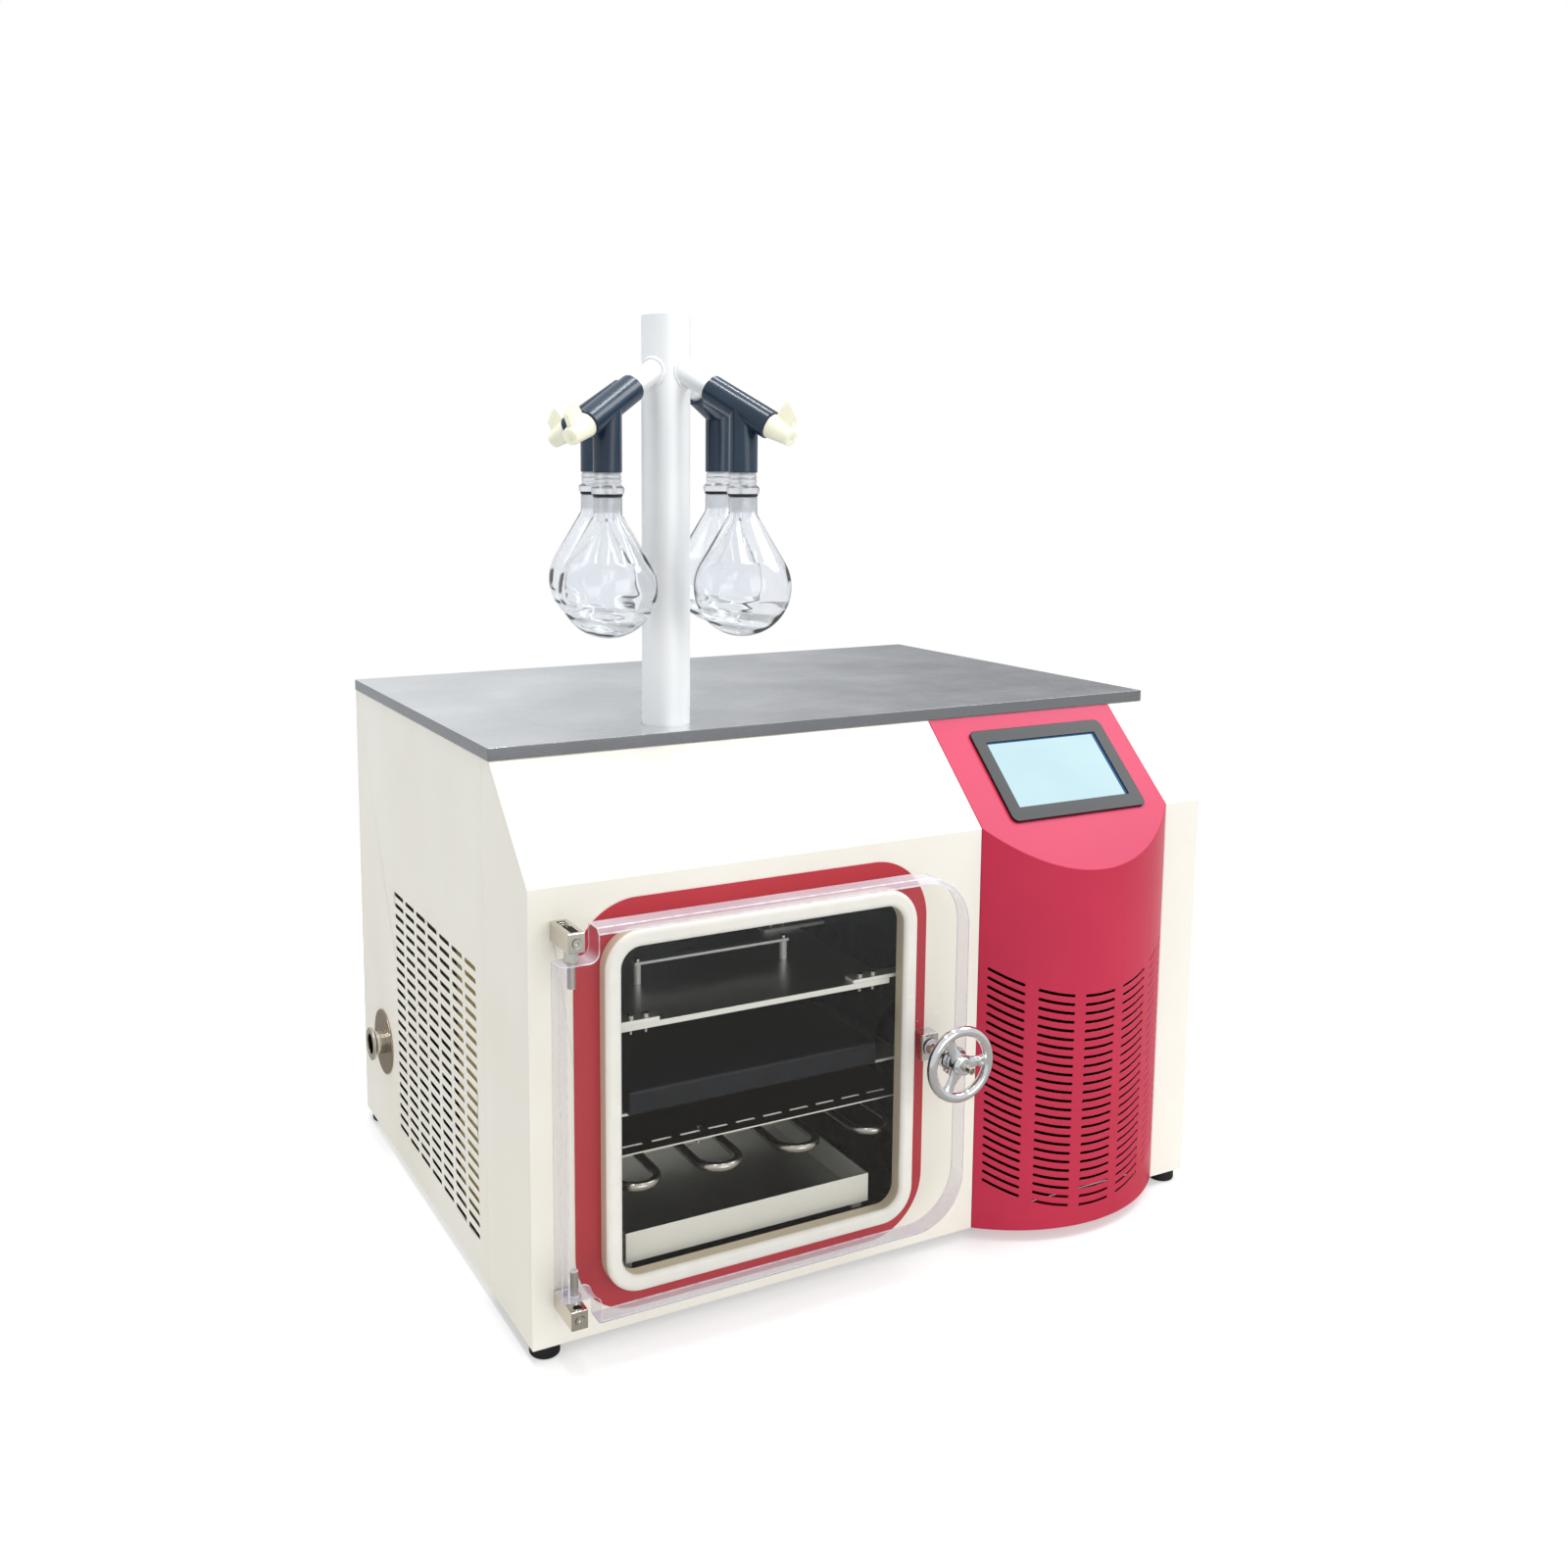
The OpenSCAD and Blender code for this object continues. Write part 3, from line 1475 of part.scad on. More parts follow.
module bracket_screw_holes() {
  for (p = bracket_screws) {
    translate([p[0], p[1], 0]) cylinder(d = shelf_screw_d + 2 * screw_hole_play, h = shell_h);
  }
}

module top_shelf() {
  y0 = chamber_front + shelf_inset;
  color(stainless)
  difference() {
    box(shelf_x, shelf_right, y0, y0 + shelf_d, shelf_z, shelf_z + shelf_t);
    bracket_screw_holes();
  }
}

module shelf_brackets() {
  z = shelf_z + shelf_t;
  color(stainless)
  difference() {
    for (y = [0, shelf_d - bracket_d], x = [chamber_x, chamber_right - bracket_l]) {
      box(x, x + bracket_l, chamber_front + shelf_inset + y, chamber_front + shelf_inset + y + bracket_d,
        z, z + bracket_t);
    }
    bracket_screw_holes();
  }
  // rails under the heated shelf
  color(stainless)
  for (right = [false, true]) {
    x0 = right ? heater_x + heater_w - rail_bite : chamber_x;
    x1 = right ? chamber_right : heater_x + rail_bite;
    box(x0, x1, chamber_front + shelf_inset + bracket_d, chamber_front + heater_d,
      heater_z - rail_t, heater_z);
  }
}

module shelf_handle() {
  post_w = 8;
  z = shelf_z + shelf_t;
  y = chamber_front + handle_y;
  color(stainless)
  difference() {
    union() {
      for (x = handle_posts) {
        translate([x, y, z]) cylinder(d = post_w, h = handle_h);
      }
      box(handle_x, handle_x + handle_l, y - handle_w / 2, y + handle_w / 2, z + handle_h,
        z + handle_h + handle_t);
    }
    for (x = handle_posts) {
      translate([x, y, z + handle_h + handle_t - shelf_screw_l - 1])
        cylinder(d = shelf_screw_d + 2 * screw_hole_play, h = shelf_screw_l + past);
    }
  }
}

module heating_shelf() {
  // a closed plate round its heating wires, with a rolled front edge
  edge = 3;
  y0 = chamber_front + shelf_inset + 8;
  color("#3c3e42")
  along_x(heater_x, heater_x + heater_w) {
    translate([y0 + edge, heater_z]) square([heater_d - edge, heater_t]);
    translate([y0, heater_z + edge]) square([edge + eps, heater_t - 2 * edge]);
    for (z = [heater_z + edge, heater_z + heater_t - edge]) {
      translate([y0 + edge, z]) circle(edge);
    }
  }
}

module baffle_plate() {
  lip = 10;
  front_gap = 14;
  slot_back = 15;  // slots from the plate's front edge
  y0 = chamber_front + front_gap;
  y1 = chamber_rear - lip;
  slot_y = y0 + slot_back;
  pitch = chamber_w / (baffle_slots + 1);
  color(stainless)
  difference() {
    union() {
      box(chamber_x, chamber_right, y0, y1, baffle_z, baffle_z + baffle_t);
      for (x = [chamber_x, chamber_right - baffle_t]) {
        box(x, x + baffle_t, y0, y1, baffle_z - lip, baffle_z + eps);
      }
    }
    up(baffle_z - past)
    linear_extrude(baffle_t + 2 * past)
    for (k = [1 : baffle_slots]) {
      slot(chamber_x + k * pitch - baffle_slot_l / 2, slot_y, baffle_slot_l, baffle_slot_w);
    }
    translate([baffle_screw_x, baffle_screw_y, baffle_z - past])
      cylinder(d = shelf_screw_d + 2 * screw_hole_play, h = baffle_t + 2 * past);
  }
}

module drip_tray() {
  y0 = chamber_front + 4;
  wall = 1.5;
  foot_back = 12;  // the feet stand back from the front edge
  z0 = chamber_z + drip_foot_h;
  color(stainless) {
    difference() {
      box(drip_x, drip_x + drip_w, y0, y0 + drip_d, z0, z0 + drip_h);
      box(drip_x + wall, drip_x + drip_w - wall, y0 + wall, y0 + drip_d - wall,
        z0 + wall, z0 + drip_h + past);
    }
    for (x = [drip_x, drip_x + drip_w - foot_back]) {
      box(x, x + foot_back, y0 + foot_back, y0 + drip_d, chamber_z, z0 + eps);
    }
  }
}

// --- refrigeration

coil_z = chamber_z + coil_up;
coil_pitch = (chamber_w - coil_left - coil_right) / (2 * coil_bends - 1);
coil_bend_r = coil_pitch / 2;
coil_x = chamber_x + coil_left + coil_bend_r;
coil_y = chamber_front + coil_front_gap + coil_bend_r + coil_tube_d / 2;  // front bends' centres
coil_rear = chamber_rear - coil_front_gap - coil_bend_r - coil_tube_d / 2; // rear bends' centres
coil_first = coil_x - coil_bend_r;
coil_last = coil_first + (2 * coil_bends - 1) * coil_pitch;
coil_ends = [coil_first, coil_last];

compressor_x = cab_w - compressor_from_right;
compressor_y = cab_d - compressor_from_rear;
compressor_foot_h = 10;
compressor_low = 2 * sheet + compressor_foot_h;
line_reach = compressor_d / 5;  // a line meets the shell this far off its middle
line_edge = line_reach - coil_tube_d / 2;  // the same to its nearer edge
line_end_x = compressor_x - sqrt(pow(compressor_d / 2, 2) - pow(line_edge, 2)) - seam_gap;

// Tube of a diameter that follows the coil's whole way
module coil_way(d) {
  for (k = [0 : 2 * coil_bends - 1]) {
    end = k == 0 || k == 2 * coil_bends - 1;
    x = coil_first + k * coil_pitch;
    if (!end) rod_y(x, coil_z, d, coil_y, coil_rear);
  }
  for (k = [0 : coil_bends - 1]) {
    translate([coil_x + k * 2 * coil_pitch, coil_y, coil_z])
      rotate([0, 0, 180]) rotate_extrude(angle = 180) translate([coil_bend_r, 0]) circle(d = d);
  }
  for (k = [0 : coil_bends - 2]) {
    translate([coil_x + (2 * k + 1) * coil_pitch, coil_rear, coil_z])
      rotate_extrude(angle = 180) translate([coil_bend_r, 0]) circle(d = d);
  }
  // both ends turn towards the compressor
  for (last = [false, true]) {
    x = last ? coil_last : coil_first;
    off = last ? -line_reach : line_reach;
    turn_y = compressor_y + off - coil_bend_r;
    rod_y(x, coil_z, d, coil_y, turn_y);
    translate([x + coil_bend_r, turn_y, coil_z]) rotate([0, 0, 90])
      rotate_extrude(angle = 90) translate([coil_bend_r, 0]) circle(d = d);
    rod_x(compressor_y + off, coil_z, d, x + coil_bend_r, line_end_x);
  }
}

module evaporator_coil() {
  color(aluminium)
  difference() {
    coil_way(coil_tube_d);
    coil_way(coil_bore_d);
  }
}

module compressor() {
  foot_w = 26;
  plate_w = compressor_d * 0.8;
  plate_t = 3;
  color("#1c1d20")
  translate([compressor_x, compressor_y, 0]) {
    up(compressor_low) cylinder(d = compressor_d, h = compressor_h);
    up(compressor_low + compressor_h)
      cylinder(d1 = compressor_d, d2 = compressor_d - 3 * compressor_dome_h, h = compressor_dome_h);
    translate([-plate_w / 2 - foot_w, -plate_w / 2, compressor_low])
      cube([plate_w + 2 * foot_w, plate_w, plate_t]);
    for (x = [-1, 1], y = [-1, 1]) {
      translate([x * (plate_w / 2 + foot_w / 2), y * (plate_w / 2 - foot_w / 2), 2 * sheet])
        cylinder(d = foot_w - 4, h = compressor_foot_h + eps);
    }
  }
}

condenser_w = console_w - 2 * condenser_side_gap;
condenser_x = console_cx - condenser_w / 2;
condenser_z = 2 * sheet + condenser_up;
condenser_rear = condenser_y + condenser_d;
run_pitch = condenser_h / run_count;
run_y = condenser_y + condenser_d / 2;

module condenser() {
  end_t = 2;
  color(aluminium) {
    for (k = [0 : fin_count - 1]) {
      end = k == 0 || k == fin_count - 1;
      t = end ? end_t : fin_t;
      x = condenser_x + k * (condenser_w - end_t) / (fin_count - 1);
      // the two end plates stand on the base tray
      box(x, x + t, condenser_y, condenser_rear, end ? 2 * sheet : condenser_z, condenser_z + condenser_h);
    }
  }
  color(copper)
  for (k = [0 : run_count - 1]) {
    z = condenser_z + run_pitch * (k + 0.5);
    rod_x(run_y, z, run_d, condenser_x, condenser_x + condenser_w);
  }
  color(copper)
  for (k = [0 : run_count - 2]) {
    right = k % 2 == 0;
    translate([right ? condenser_x + condenser_w : condenser_x, run_y, condenser_z + run_pitch * (k + 1)])
      rotate([90, right ? 0 : 180, 0])
      rotate([0, 0, -90]) rotate_extrude(angle = 180) translate([run_pitch / 2, 0]) circle(d = run_d);
  }
}

fan_z = condenser_z + condenser_h / 2;
shroud_rear = condenser_rear + shroud_t;
fan_y = shroud_rear + shroud_ring_l / 2;
motor_gap = 8;  // motor behind the ring
motor_y = shroud_rear + shroud_ring_l + motor_gap;

module fan_shroud() {
  arm_w = 12;
  arm_t = 3;
  ring_t = 2;
  arm_y = motor_y + motor_l / 2;
  color("#24262a")
  difference() {
    union() {
      box(condenser_x, condenser_x + condenser_w, condenser_rear, shroud_rear, condenser_z,
        condenser_z + condenser_h);
      rod_y(console_cx, fan_z, shroud_ring_d + 2 * ring_t, condenser_rear, shroud_rear + shroud_ring_l);
    }
    rod_y(console_cx, fan_z, shroud_ring_d, condenser_rear - past, shroud_rear + shroud_ring_l + past);
  }
  // three arms and a clamp band carry the motor
  color("#24262a")
  difference() {
    union() {
      for (a = [90, 210, 330]) {
        translate([console_cx, 0, fan_z]) rotate([0, -a, 0]) {
          box(shroud_ring_d / 2, shroud_ring_d / 2 + arm_t, shroud_rear + shroud_ring_l - eps,
            arm_y + arm_w / 2, -arm_w / 2, arm_w / 2);
          box(motor_d / 2, shroud_ring_d / 2 + eps, arm_y - arm_w / 2, arm_y + arm_w / 2,
            -arm_t / 2, arm_t / 2);
        }
      }
      rod_y(console_cx, fan_z, motor_d + 2 * arm_t, arm_y - arm_w / 2, arm_y + arm_w / 2);
    }
    rod_y(console_cx, fan_z, motor_d + 2 * screw_hole_play, arm_y - arm_w, arm_y + arm_w);
  }
}

module fan_motor() {
  color("#b9bcc0") {
    rod_y(console_cx, fan_z, motor_d, motor_y, motor_y + motor_l);
    rod_y(console_cx, fan_z, shaft_d, fan_y - fan_hub_l / 2, motor_y + eps);
  }
}

module fan() {
  blade_t = 2;
  blade_pitch = 28;
  blade_r = shroud_ring_d / 2 - blade_gap;
  blade_w = 38;
  blade_root = fan_hub_d / 4;  // blades start inside the hub
  tip_room = 4;  // keeps a blade's corners off the ring
  color("#1d1e21")
  difference() {
    union() {
      rod_y(console_cx, fan_z, fan_hub_d, fan_y - fan_hub_l / 2, fan_y + fan_hub_l / 2);
      for (k = [0 : blade_count - 1]) {
        translate([console_cx, fan_y, fan_z]) rotate([0, -k * 360 / blade_count, 0])
          rotate([blade_pitch, 0, 0])
          translate([blade_root, -blade_t / 2, -blade_w / 2])
          cube([blade_r - blade_root - tip_room, blade_t, blade_w]);
      }
    }
    rod_y(console_cx, fan_z, shaft_d + 2 * shaft_play, fan_y - fan_hub_l, fan_y + fan_hub_l);
  }
}

// --- mains inlet

inlet_x = cab_w - inlet_from_right;
inlet_lip = 4;  // flange past the module's body
inlet_body_w = inlet_w - 2 * inlet_lip;
inlet_body_h = inlet_h - 2 * inlet_lip;
rocker_down = 8;  // rocker below the flange's upper edge
rocker_back = 7;  // rocker's axis behind the rear face
socket_up = 20;  // socket's middle above the flange's lower edge
inlet_body_l = 28;
rocker_z = inlet_z + inlet_h / 2 - rocker_down - rocker_h / 2;
rocker_pin_y = cab_d - rocker_back;
rocker_pin_d = 3;
rocker_play = 0.3;
socket_z = inlet_z - inlet_h / 2 + socket_up;

module power_inlet() {
  socket_w = 24;
  socket_h = 17;
  socket_depth = 16;
  wall = 3;
  pin_w = 4;
  pin_t = 2;
  pin_l = 11;
  color("#17181a")
  difference() {
    union() {
      box(inlet_x - inlet_w / 2, inlet_x + inlet_w / 2, cab_d, cab_d + inlet_flange_t,
        inlet_z - inlet_h / 2, inlet_z + inlet_h / 2);
      box(inlet_x - inlet_body_w / 2, inlet_x + inlet_body_w / 2, cab_d - inlet_body_l, cab_d + eps,
        inlet_z - inlet_body_h / 2, inlet_z + inlet_body_h / 2);
    }
    box(inlet_x - socket_w / 2, inlet_x + socket_w / 2, cab_d - socket_depth + inlet_flange_t, cab_d + past,
      socket_z - socket_h / 2, socket_z + socket_h / 2);
    box(inlet_x - rocker_w / 2 - rocker_play, inlet_x + rocker_w / 2 + rocker_play,
      cab_d - inlet_body_l + wall, cab_d + past,
      rocker_z - rocker_h / 2 - rocker_play, rocker_z + rocker_h / 2 + rocker_play);
    rod_x(rocker_pin_y, rocker_z, rocker_pin_d + 0.1, inlet_x - rocker_w / 2 - 4,
       inlet_x + rocker_w / 2 + 4);
  }
  color(chrome)
  for (p = [[-7, -2], [7, -2], [0, 2.5]]) {
    box(inlet_x + p[0] - pin_t / 2, inlet_x + p[0] + pin_t / 2,
      cab_d - socket_depth + inlet_flange_t - eps, cab_d - socket_depth + inlet_flange_t + pin_l,
      socket_z + p[1] - pin_w / 2, socket_z + p[1] + pin_w / 2);
  }
}

// Rocker, tipped back by half its travel
module power_switch() {
  half = rocker_travel / 2;
  color("#1b1c1f")
  translate([inlet_x, rocker_pin_y, rocker_z]) rotate([half, 0, 0]) {
    rod_x(0, 0, rocker_h, -rocker_w / 2, rocker_w / 2);
    rod_x(0, 0, rocker_pin_d, -rocker_w / 2 - 3, rocker_w / 2 + 3);
  }
}

place() base_tray();
place() front_shell();
place() left_panel();
place() right_panel();
place() rear_panel();
place() top_plate();
place() feet();
place() red_surround();
place() chamber_liner();
place() insulation_jacket();
place() door_seal();
place() console_shell();
place() screen_bezel();
place() screen_glass();
place() control_board();
place() vacuum_port_plate();
place() vacuum_port();
place() vacuum_pipe();
place() hinge_blocks();
place() hinge_pins();
place() fixing_screws();
place() latch_nut();
place() door_plate();
place() screw_bushing();
place() clamp_washer();
place() handwheel();
place() clamp_screw();
place() manifold_post();
place() post_flange();
for (i = [1 : 4]) {
  place() valve_body(i);
  place() valve_knob(i);
  place() glass_adapter(i);
  place() flask(i);
}
place() joint_rings();
place() evaporator_coil();
place() top_shelf();
place() shelf_handle();
place() shelf_brackets();
place() heating_shelf();
place() baffle_plate();
place() drip_tray();
place() compressor();
place() condenser();
place() fan_shroud();
place() fan();
place() fan_motor();
place() power_inlet();
place() power_switch();
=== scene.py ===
"""Bench-top freeze dryer: the finishes and the detail pieces that go round its
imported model. Lengths in the tables below are millimetres in the cabinet's own
frame: X to the right from its left side, Y back from its front, Z up from its
underside."""

import math

import bmesh
import bpy
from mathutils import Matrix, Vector


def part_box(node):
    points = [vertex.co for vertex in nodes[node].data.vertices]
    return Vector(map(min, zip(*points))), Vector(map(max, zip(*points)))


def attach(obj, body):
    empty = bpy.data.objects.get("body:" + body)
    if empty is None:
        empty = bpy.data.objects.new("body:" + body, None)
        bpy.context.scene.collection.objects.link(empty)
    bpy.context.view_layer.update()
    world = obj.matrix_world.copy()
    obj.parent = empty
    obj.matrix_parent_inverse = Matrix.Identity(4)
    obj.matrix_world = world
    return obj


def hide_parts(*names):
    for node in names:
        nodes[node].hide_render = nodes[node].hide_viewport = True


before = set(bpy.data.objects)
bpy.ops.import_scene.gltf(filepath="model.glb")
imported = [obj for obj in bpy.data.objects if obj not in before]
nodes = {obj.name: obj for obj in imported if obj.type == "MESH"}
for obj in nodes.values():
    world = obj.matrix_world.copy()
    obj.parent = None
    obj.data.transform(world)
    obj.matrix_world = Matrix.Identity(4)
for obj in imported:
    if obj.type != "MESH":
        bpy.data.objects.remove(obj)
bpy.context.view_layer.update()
MM = 0.001
SAME_POINT = 0.002 * MM                 # points this near are one point
FLAT = math.radians(0.2)                # faces that meet flatter than this are one face
SHARP = math.radians(32)                # edges sharper than this get rounded
BRANCHES = range(1, 5)                  # the manifold's four ways
cabinet_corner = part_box("front_shell")[0]


def at(x, y, z):
    """A point of the cabinet's own frame, in the model's metres."""
    return cabinet_corner + Vector((x, y, z)) * MM


# ------------------------------------------------------------------ camera

camera = bpy.data.objects.new("camera", bpy.data.cameras.new("camera"))
bpy.context.scene.collection.objects.link(camera)
bpy.context.scene.camera = camera
camera.data.sensor_width = 36
camera.data.lens = 33.99
camera.data.shift_x = 0.0608
camera.data.shift_y = -0.0827
camera.data.clip_end = 50
camera_turn = math.radians(-26.748)     # about the vertical, from straight ahead
camera_tilt = math.radians(7.395)       # looking down
camera_roll = math.radians(-0.076)
camera.location = at(-453.8, -1223.9, 831.4)
camera.rotation_euler = (math.radians(90) - camera_tilt, camera_roll, camera_turn)

# ------------------------------------------------------------------- light


def soft_box(name, place, target, width, height, power, tint=(1.0, 1.0, 1.0)):
    """A rectangular studio light of some watts that faces a point. Its place and
    sizes are metres in the model's frame."""
    lamp = bpy.data.lights.new(name, "AREA")
    lamp.shape = "RECTANGLE"
    lamp.size = width
    lamp.size_y = height
    lamp.energy = power
    lamp.color = tint
    box = bpy.data.objects.new(name, lamp)
    bpy.context.scene.collection.objects.link(box)
    box.location = place
    box.rotation_euler = (Vector(target) - Vector(place)).to_track_quat("-Z", "Y").to_euler()


soft_box("left_tube", (-0.59, -0.15, 2.6), (-0.59, -0.15, 0), 0.14, 1.8, 24)
soft_box("right_tube", (0.47, -0.15, 2.6), (0.47, -0.15, 0), 0.14, 1.8, 19)
soft_box("console_light", (1.77, -0.66, 2.3), (0.24, -0.2, 0.5), 1.2, 1.0, 24, (0.95, 0.97, 1.0))
soft_box("front_light", (0.3, -3.0, 1.1), (0, 0, 0.4), 1.8, 1.4, 12.5, (1.0, 0.985, 0.96))


def linear(code):
    """An sRGB hex colour as the linear numbers that the shaders take."""
    parts = [int(code[i:i + 2], 16) / 255 for i in (1, 3, 5)]
    return [p / 12.92 if p <= 0.04045 else ((p + 0.055) / 1.055) ** 2.4 for p in parts] + [1.0]


def add(tree, kind, sockets=None, **settings):
    """Adds a node, sets its settings, and fills or links its input sockets."""
    made = tree.nodes.new(kind)
    for name, value in settings.items():
        setattr(made, name, value)
    for name, value in (sockets or {}).items():
        if isinstance(value, bpy.types.NodeSocket):
            tree.links.new(value, made.inputs[name])
        else:
            made.inputs[name].default_value = value
    return made


# The room: light grey at eye level, where the steel mirrors it, white above, and
# shaded in its right rear corner. What shows straight is the white backdrop, a
# shade dimmer through glass.
world = bpy.data.worlds.new("studio")
bpy.context.scene.world = world
world.use_nodes = True
room = world.node_tree
room.nodes.clear()
way = add(room, "ShaderNodeSeparateXYZ", {"Vector": add(room, "ShaderNodeTexCoord").outputs["Generated"]})
height = add(room, "ShaderNodeMapRange", {"Value": way.outputs["Z"], "From Min": -0.1, "From Max": 0.7})
walls = add(room, "ShaderNodeMix", {"Factor": height.outputs["Result"], 6: linear("#E2E5E8"),
                                    7: linear("#F1F1F1")}, data_type="RGBA")
right_rear = add(room, "ShaderNodeMath", {0: way.outputs["X"], 1: way.outputs["Y"]}, operation="MINIMUM")
shade = add(room, "ShaderNodeMapRange", {"Value": right_rear.outputs[0], "From Min": 0.3, "From Max": 0.6})
shaded = add(room, "ShaderNodeMix", {"Factor": shade.outputs["Result"], 6: walls.outputs[2],
                                     7: linear("#9B9C9F")}, data_type="RGBA")
mirrored = add(room, "ShaderNodeBackground", {"Color": shaded.outputs[2], "Strength": 0.95})
through_glass = add(room, "ShaderNodeBackground", {"Color": linear("#EEF0F4"), "Strength": 1.0})
straight = add(room, "ShaderNodeBackground", {"Color": linear("#FFFFFF"), "Strength": 1.0})
path = add(room, "ShaderNodeLightPath")
unseen = add(room, "ShaderNodeMixShader", {0: path.outputs["Is Transmission Ray"], 1: mirrored.outputs[0],
                                           2: through_glass.outputs[0]})
sky = add(room, "ShaderNodeMixShader", {0: path.outputs["Is Camera Ray"], 1: unseen.outputs[0],
                                        2: straight.outputs[0]})
add(room, "ShaderNodeOutputWorld", {"Surface": sky.outputs[0]})
bpy.context.scene.view_settings.view_transform = "Standard"

# ---------------------------------------------------------------- finishes


def finish(name):
    """An empty material and its node tree."""
    made = bpy.data.materials.new(name)
    made.use_nodes = True
    made.node_tree.nodes.clear()
    return made, made.node_tree


def show(tree, **sockets):
    """Ends a finish in one surface shader."""
    named = {key.replace("_", " "): value for key, value in sockets.items()}
    surface = add(tree, "ShaderNodeBsdfPrincipled", named)
    add(tree, "ShaderNodeOutputMaterial", {"Surface": surface.outputs[0]})


def patchy(tree, spot, size, dark, light):
    """A colour that drifts between two hex colours over patches of a size in mm."""
    drift = add(tree, "ShaderNodeTexNoise", {"Vector": spot, "Scale": 1 / (size * MM), "Detail": 3.0})
    ramp = add(tree, "ShaderNodeMapRange", {"Value": drift.outputs["Fac"], "From Min": 0.35, "From Max": 0.7})
    return add(tree, "ShaderNodeMix", {"Factor": ramp.outputs[0], 6: linear(dark), 7: linear(light)},
               data_type="RGBA").outputs[2]


def powder_coat(name, dark, light, roughness, slot_wall_shade=0.0, **more):
    """Powder-coated steel: an even colour whose surface ripples like orange
    peel, about 2.5 mm from crest to crest, which softens every reflection. The
    walls of its slots, which face back into the cabinet, carry a painted shade,
    as near black as the share given for them says."""
    made, tree = finish(name)
    where = add(tree, "ShaderNodeTexCoord")
    spot = where.outputs["Object"]
    peel = add(tree, "ShaderNodeTexNoise", {"Vector": spot, "Scale": 1 / (2.5 * MM), "Detail": 2.0})
    ripple = add(tree, "ShaderNodeBump", {"Height": peel.outputs["Fac"], "Strength": 0.12,
                                          "Distance": 0.05 * MM})
    facing = add(tree, "ShaderNodeSeparateXYZ", {"Vector": where.outputs["Normal"]})
    # Painted shade: walls that face back into the cabinet mix towards near black.
    inward = add(tree, "ShaderNodeMapRange", {"Value": facing.outputs["Y"], "From Min": 0.25,
                                              "From Max": 0.45, "To Max": slot_wall_shade})
    coat = add(tree, "ShaderNodeMix", {"Factor": inward.outputs[0], 6: patchy(tree, spot, 160, dark, light),
                                       7: linear("#1C0A0D")}, data_type="RGBA")
    show(tree, Base_Color=coat.outputs[2], Roughness=roughness, Normal=ripple.outputs[0], **more)
    return made


# Cabinet: warm white with a soft sheen.
cream_coat = powder_coat("powder_coated_steel_cream", "#ECE8DC", "#F1EEE4", 0.4)
# Surround of the door: plain red.
red_coat = powder_coat("powder_coated_steel_red", "#B32331", "#B92A37", 0.35)
# Console: crimson under a clear resin, which gives its sheen a violet cast; the walls of its slots carry a
# near-black painted shade.
console_coat = powder_coat("powder_coated_steel_crimson", "#B9223A", "#C1263F", 0.42, 0.95,
                           Specular_Tint=linear("#CFCFFF"))


def brushed(name, dark, light, roughness, along, smudge=0.08, cut=None, bare=1.0, metallic=1.0):
    """Metal sheet brushed or drawn one way: hair lines 0.6 mm apart and 60 mm
    long stretch each reflection across the brushing, and hands leave smudges.
    Faces that stand upright on a level sheet, its cut and folded edges, get a
    colour of their own that paints the light they catch: a painted shade where it
    is darker than the sheet, a painted highlight where it is lighter. They scatter
    the light like matt paint as far as they are bare."""
    made, tree = finish(name)
    where = add(tree, "ShaderNodeTexCoord")
    spot = where.outputs["Object"]
    across, length = 1 / (0.6 * MM), 1 / (60 * MM)
    size = {"X": (length, across, across), "Y": (across, length, across),
            "Z": (across, across, length)}[along]
    drawn = add(tree, "ShaderNodeMapping", {"Vector": spot, "Scale": size})
    hairs = add(tree, "ShaderNodeTexNoise", {"Vector": drawn.outputs[0], "Scale": 1.0, "Detail": 3.0})
    hands = add(tree, "ShaderNodeTexNoise", {"Vector": spot, "Scale": 1 / (70 * MM), "Detail": 4.0})
    mixed = add(tree, "ShaderNodeMath", {0: hairs.outputs["Fac"], 1: hands.outputs["Fac"]}, operation="ADD")
    gloss = add(tree, "ShaderNodeMapRange", {"Value": mixed.outputs[0], "From Min": 0.6, "From Max": 1.4,
                                             "To Min": roughness - smudge, "To Max": roughness + smudge})
    lines = add(tree, "ShaderNodeBump", {"Height": hairs.outputs["Fac"], "Strength": 0.15,
                                         "Distance": 0.02 * MM})
    colour, metal = patchy(tree, spot, 120, dark, light), metallic
    # Painted shade and highlight: upright faces take the given colour in place of the sheet's.
    if cut:
        facing = add(tree, "ShaderNodeSeparateXYZ", {"Vector": where.outputs["Normal"]})
        level = add(tree, "ShaderNodeMath", {0: facing.outputs["Z"]}, operation="ABSOLUTE")
        edge = add(tree, "ShaderNodeMapRange", {"Value": level.outputs[0], "From Min": 0.8, "From Max": 0.6})
        colour = add(tree, "ShaderNodeMix", {"Factor": edge.outputs[0], 6: colour, 7: linear(cut)},
                     data_type="RGBA").outputs[2]
        metal = add(tree, "ShaderNodeMapRange", {"Value": edge.outputs[0], "To Min": metallic,
                                                 "To Max": bare}).outputs[0]
    show(tree, Base_Color=colour, Metallic=metal, Roughness=gloss.outputs[0], Normal=lines.outputs[0])
    return made


# Top plate: pale, with a dark painted shade on its upright edges.
top_steel = brushed("brushed_stainless_top", "#DDE0E3", "#EEF0F1", 0.26, "X", cut="#8A8B8D")
# Tray and shelf: warmer and duller, with a bright painted highlight on their upright faces.
tray_steel = brushed("brushed_stainless", "#C6C8C8", "#D4D5D3", 0.34, "X", cut="#ECEBE4", bare=0.25)
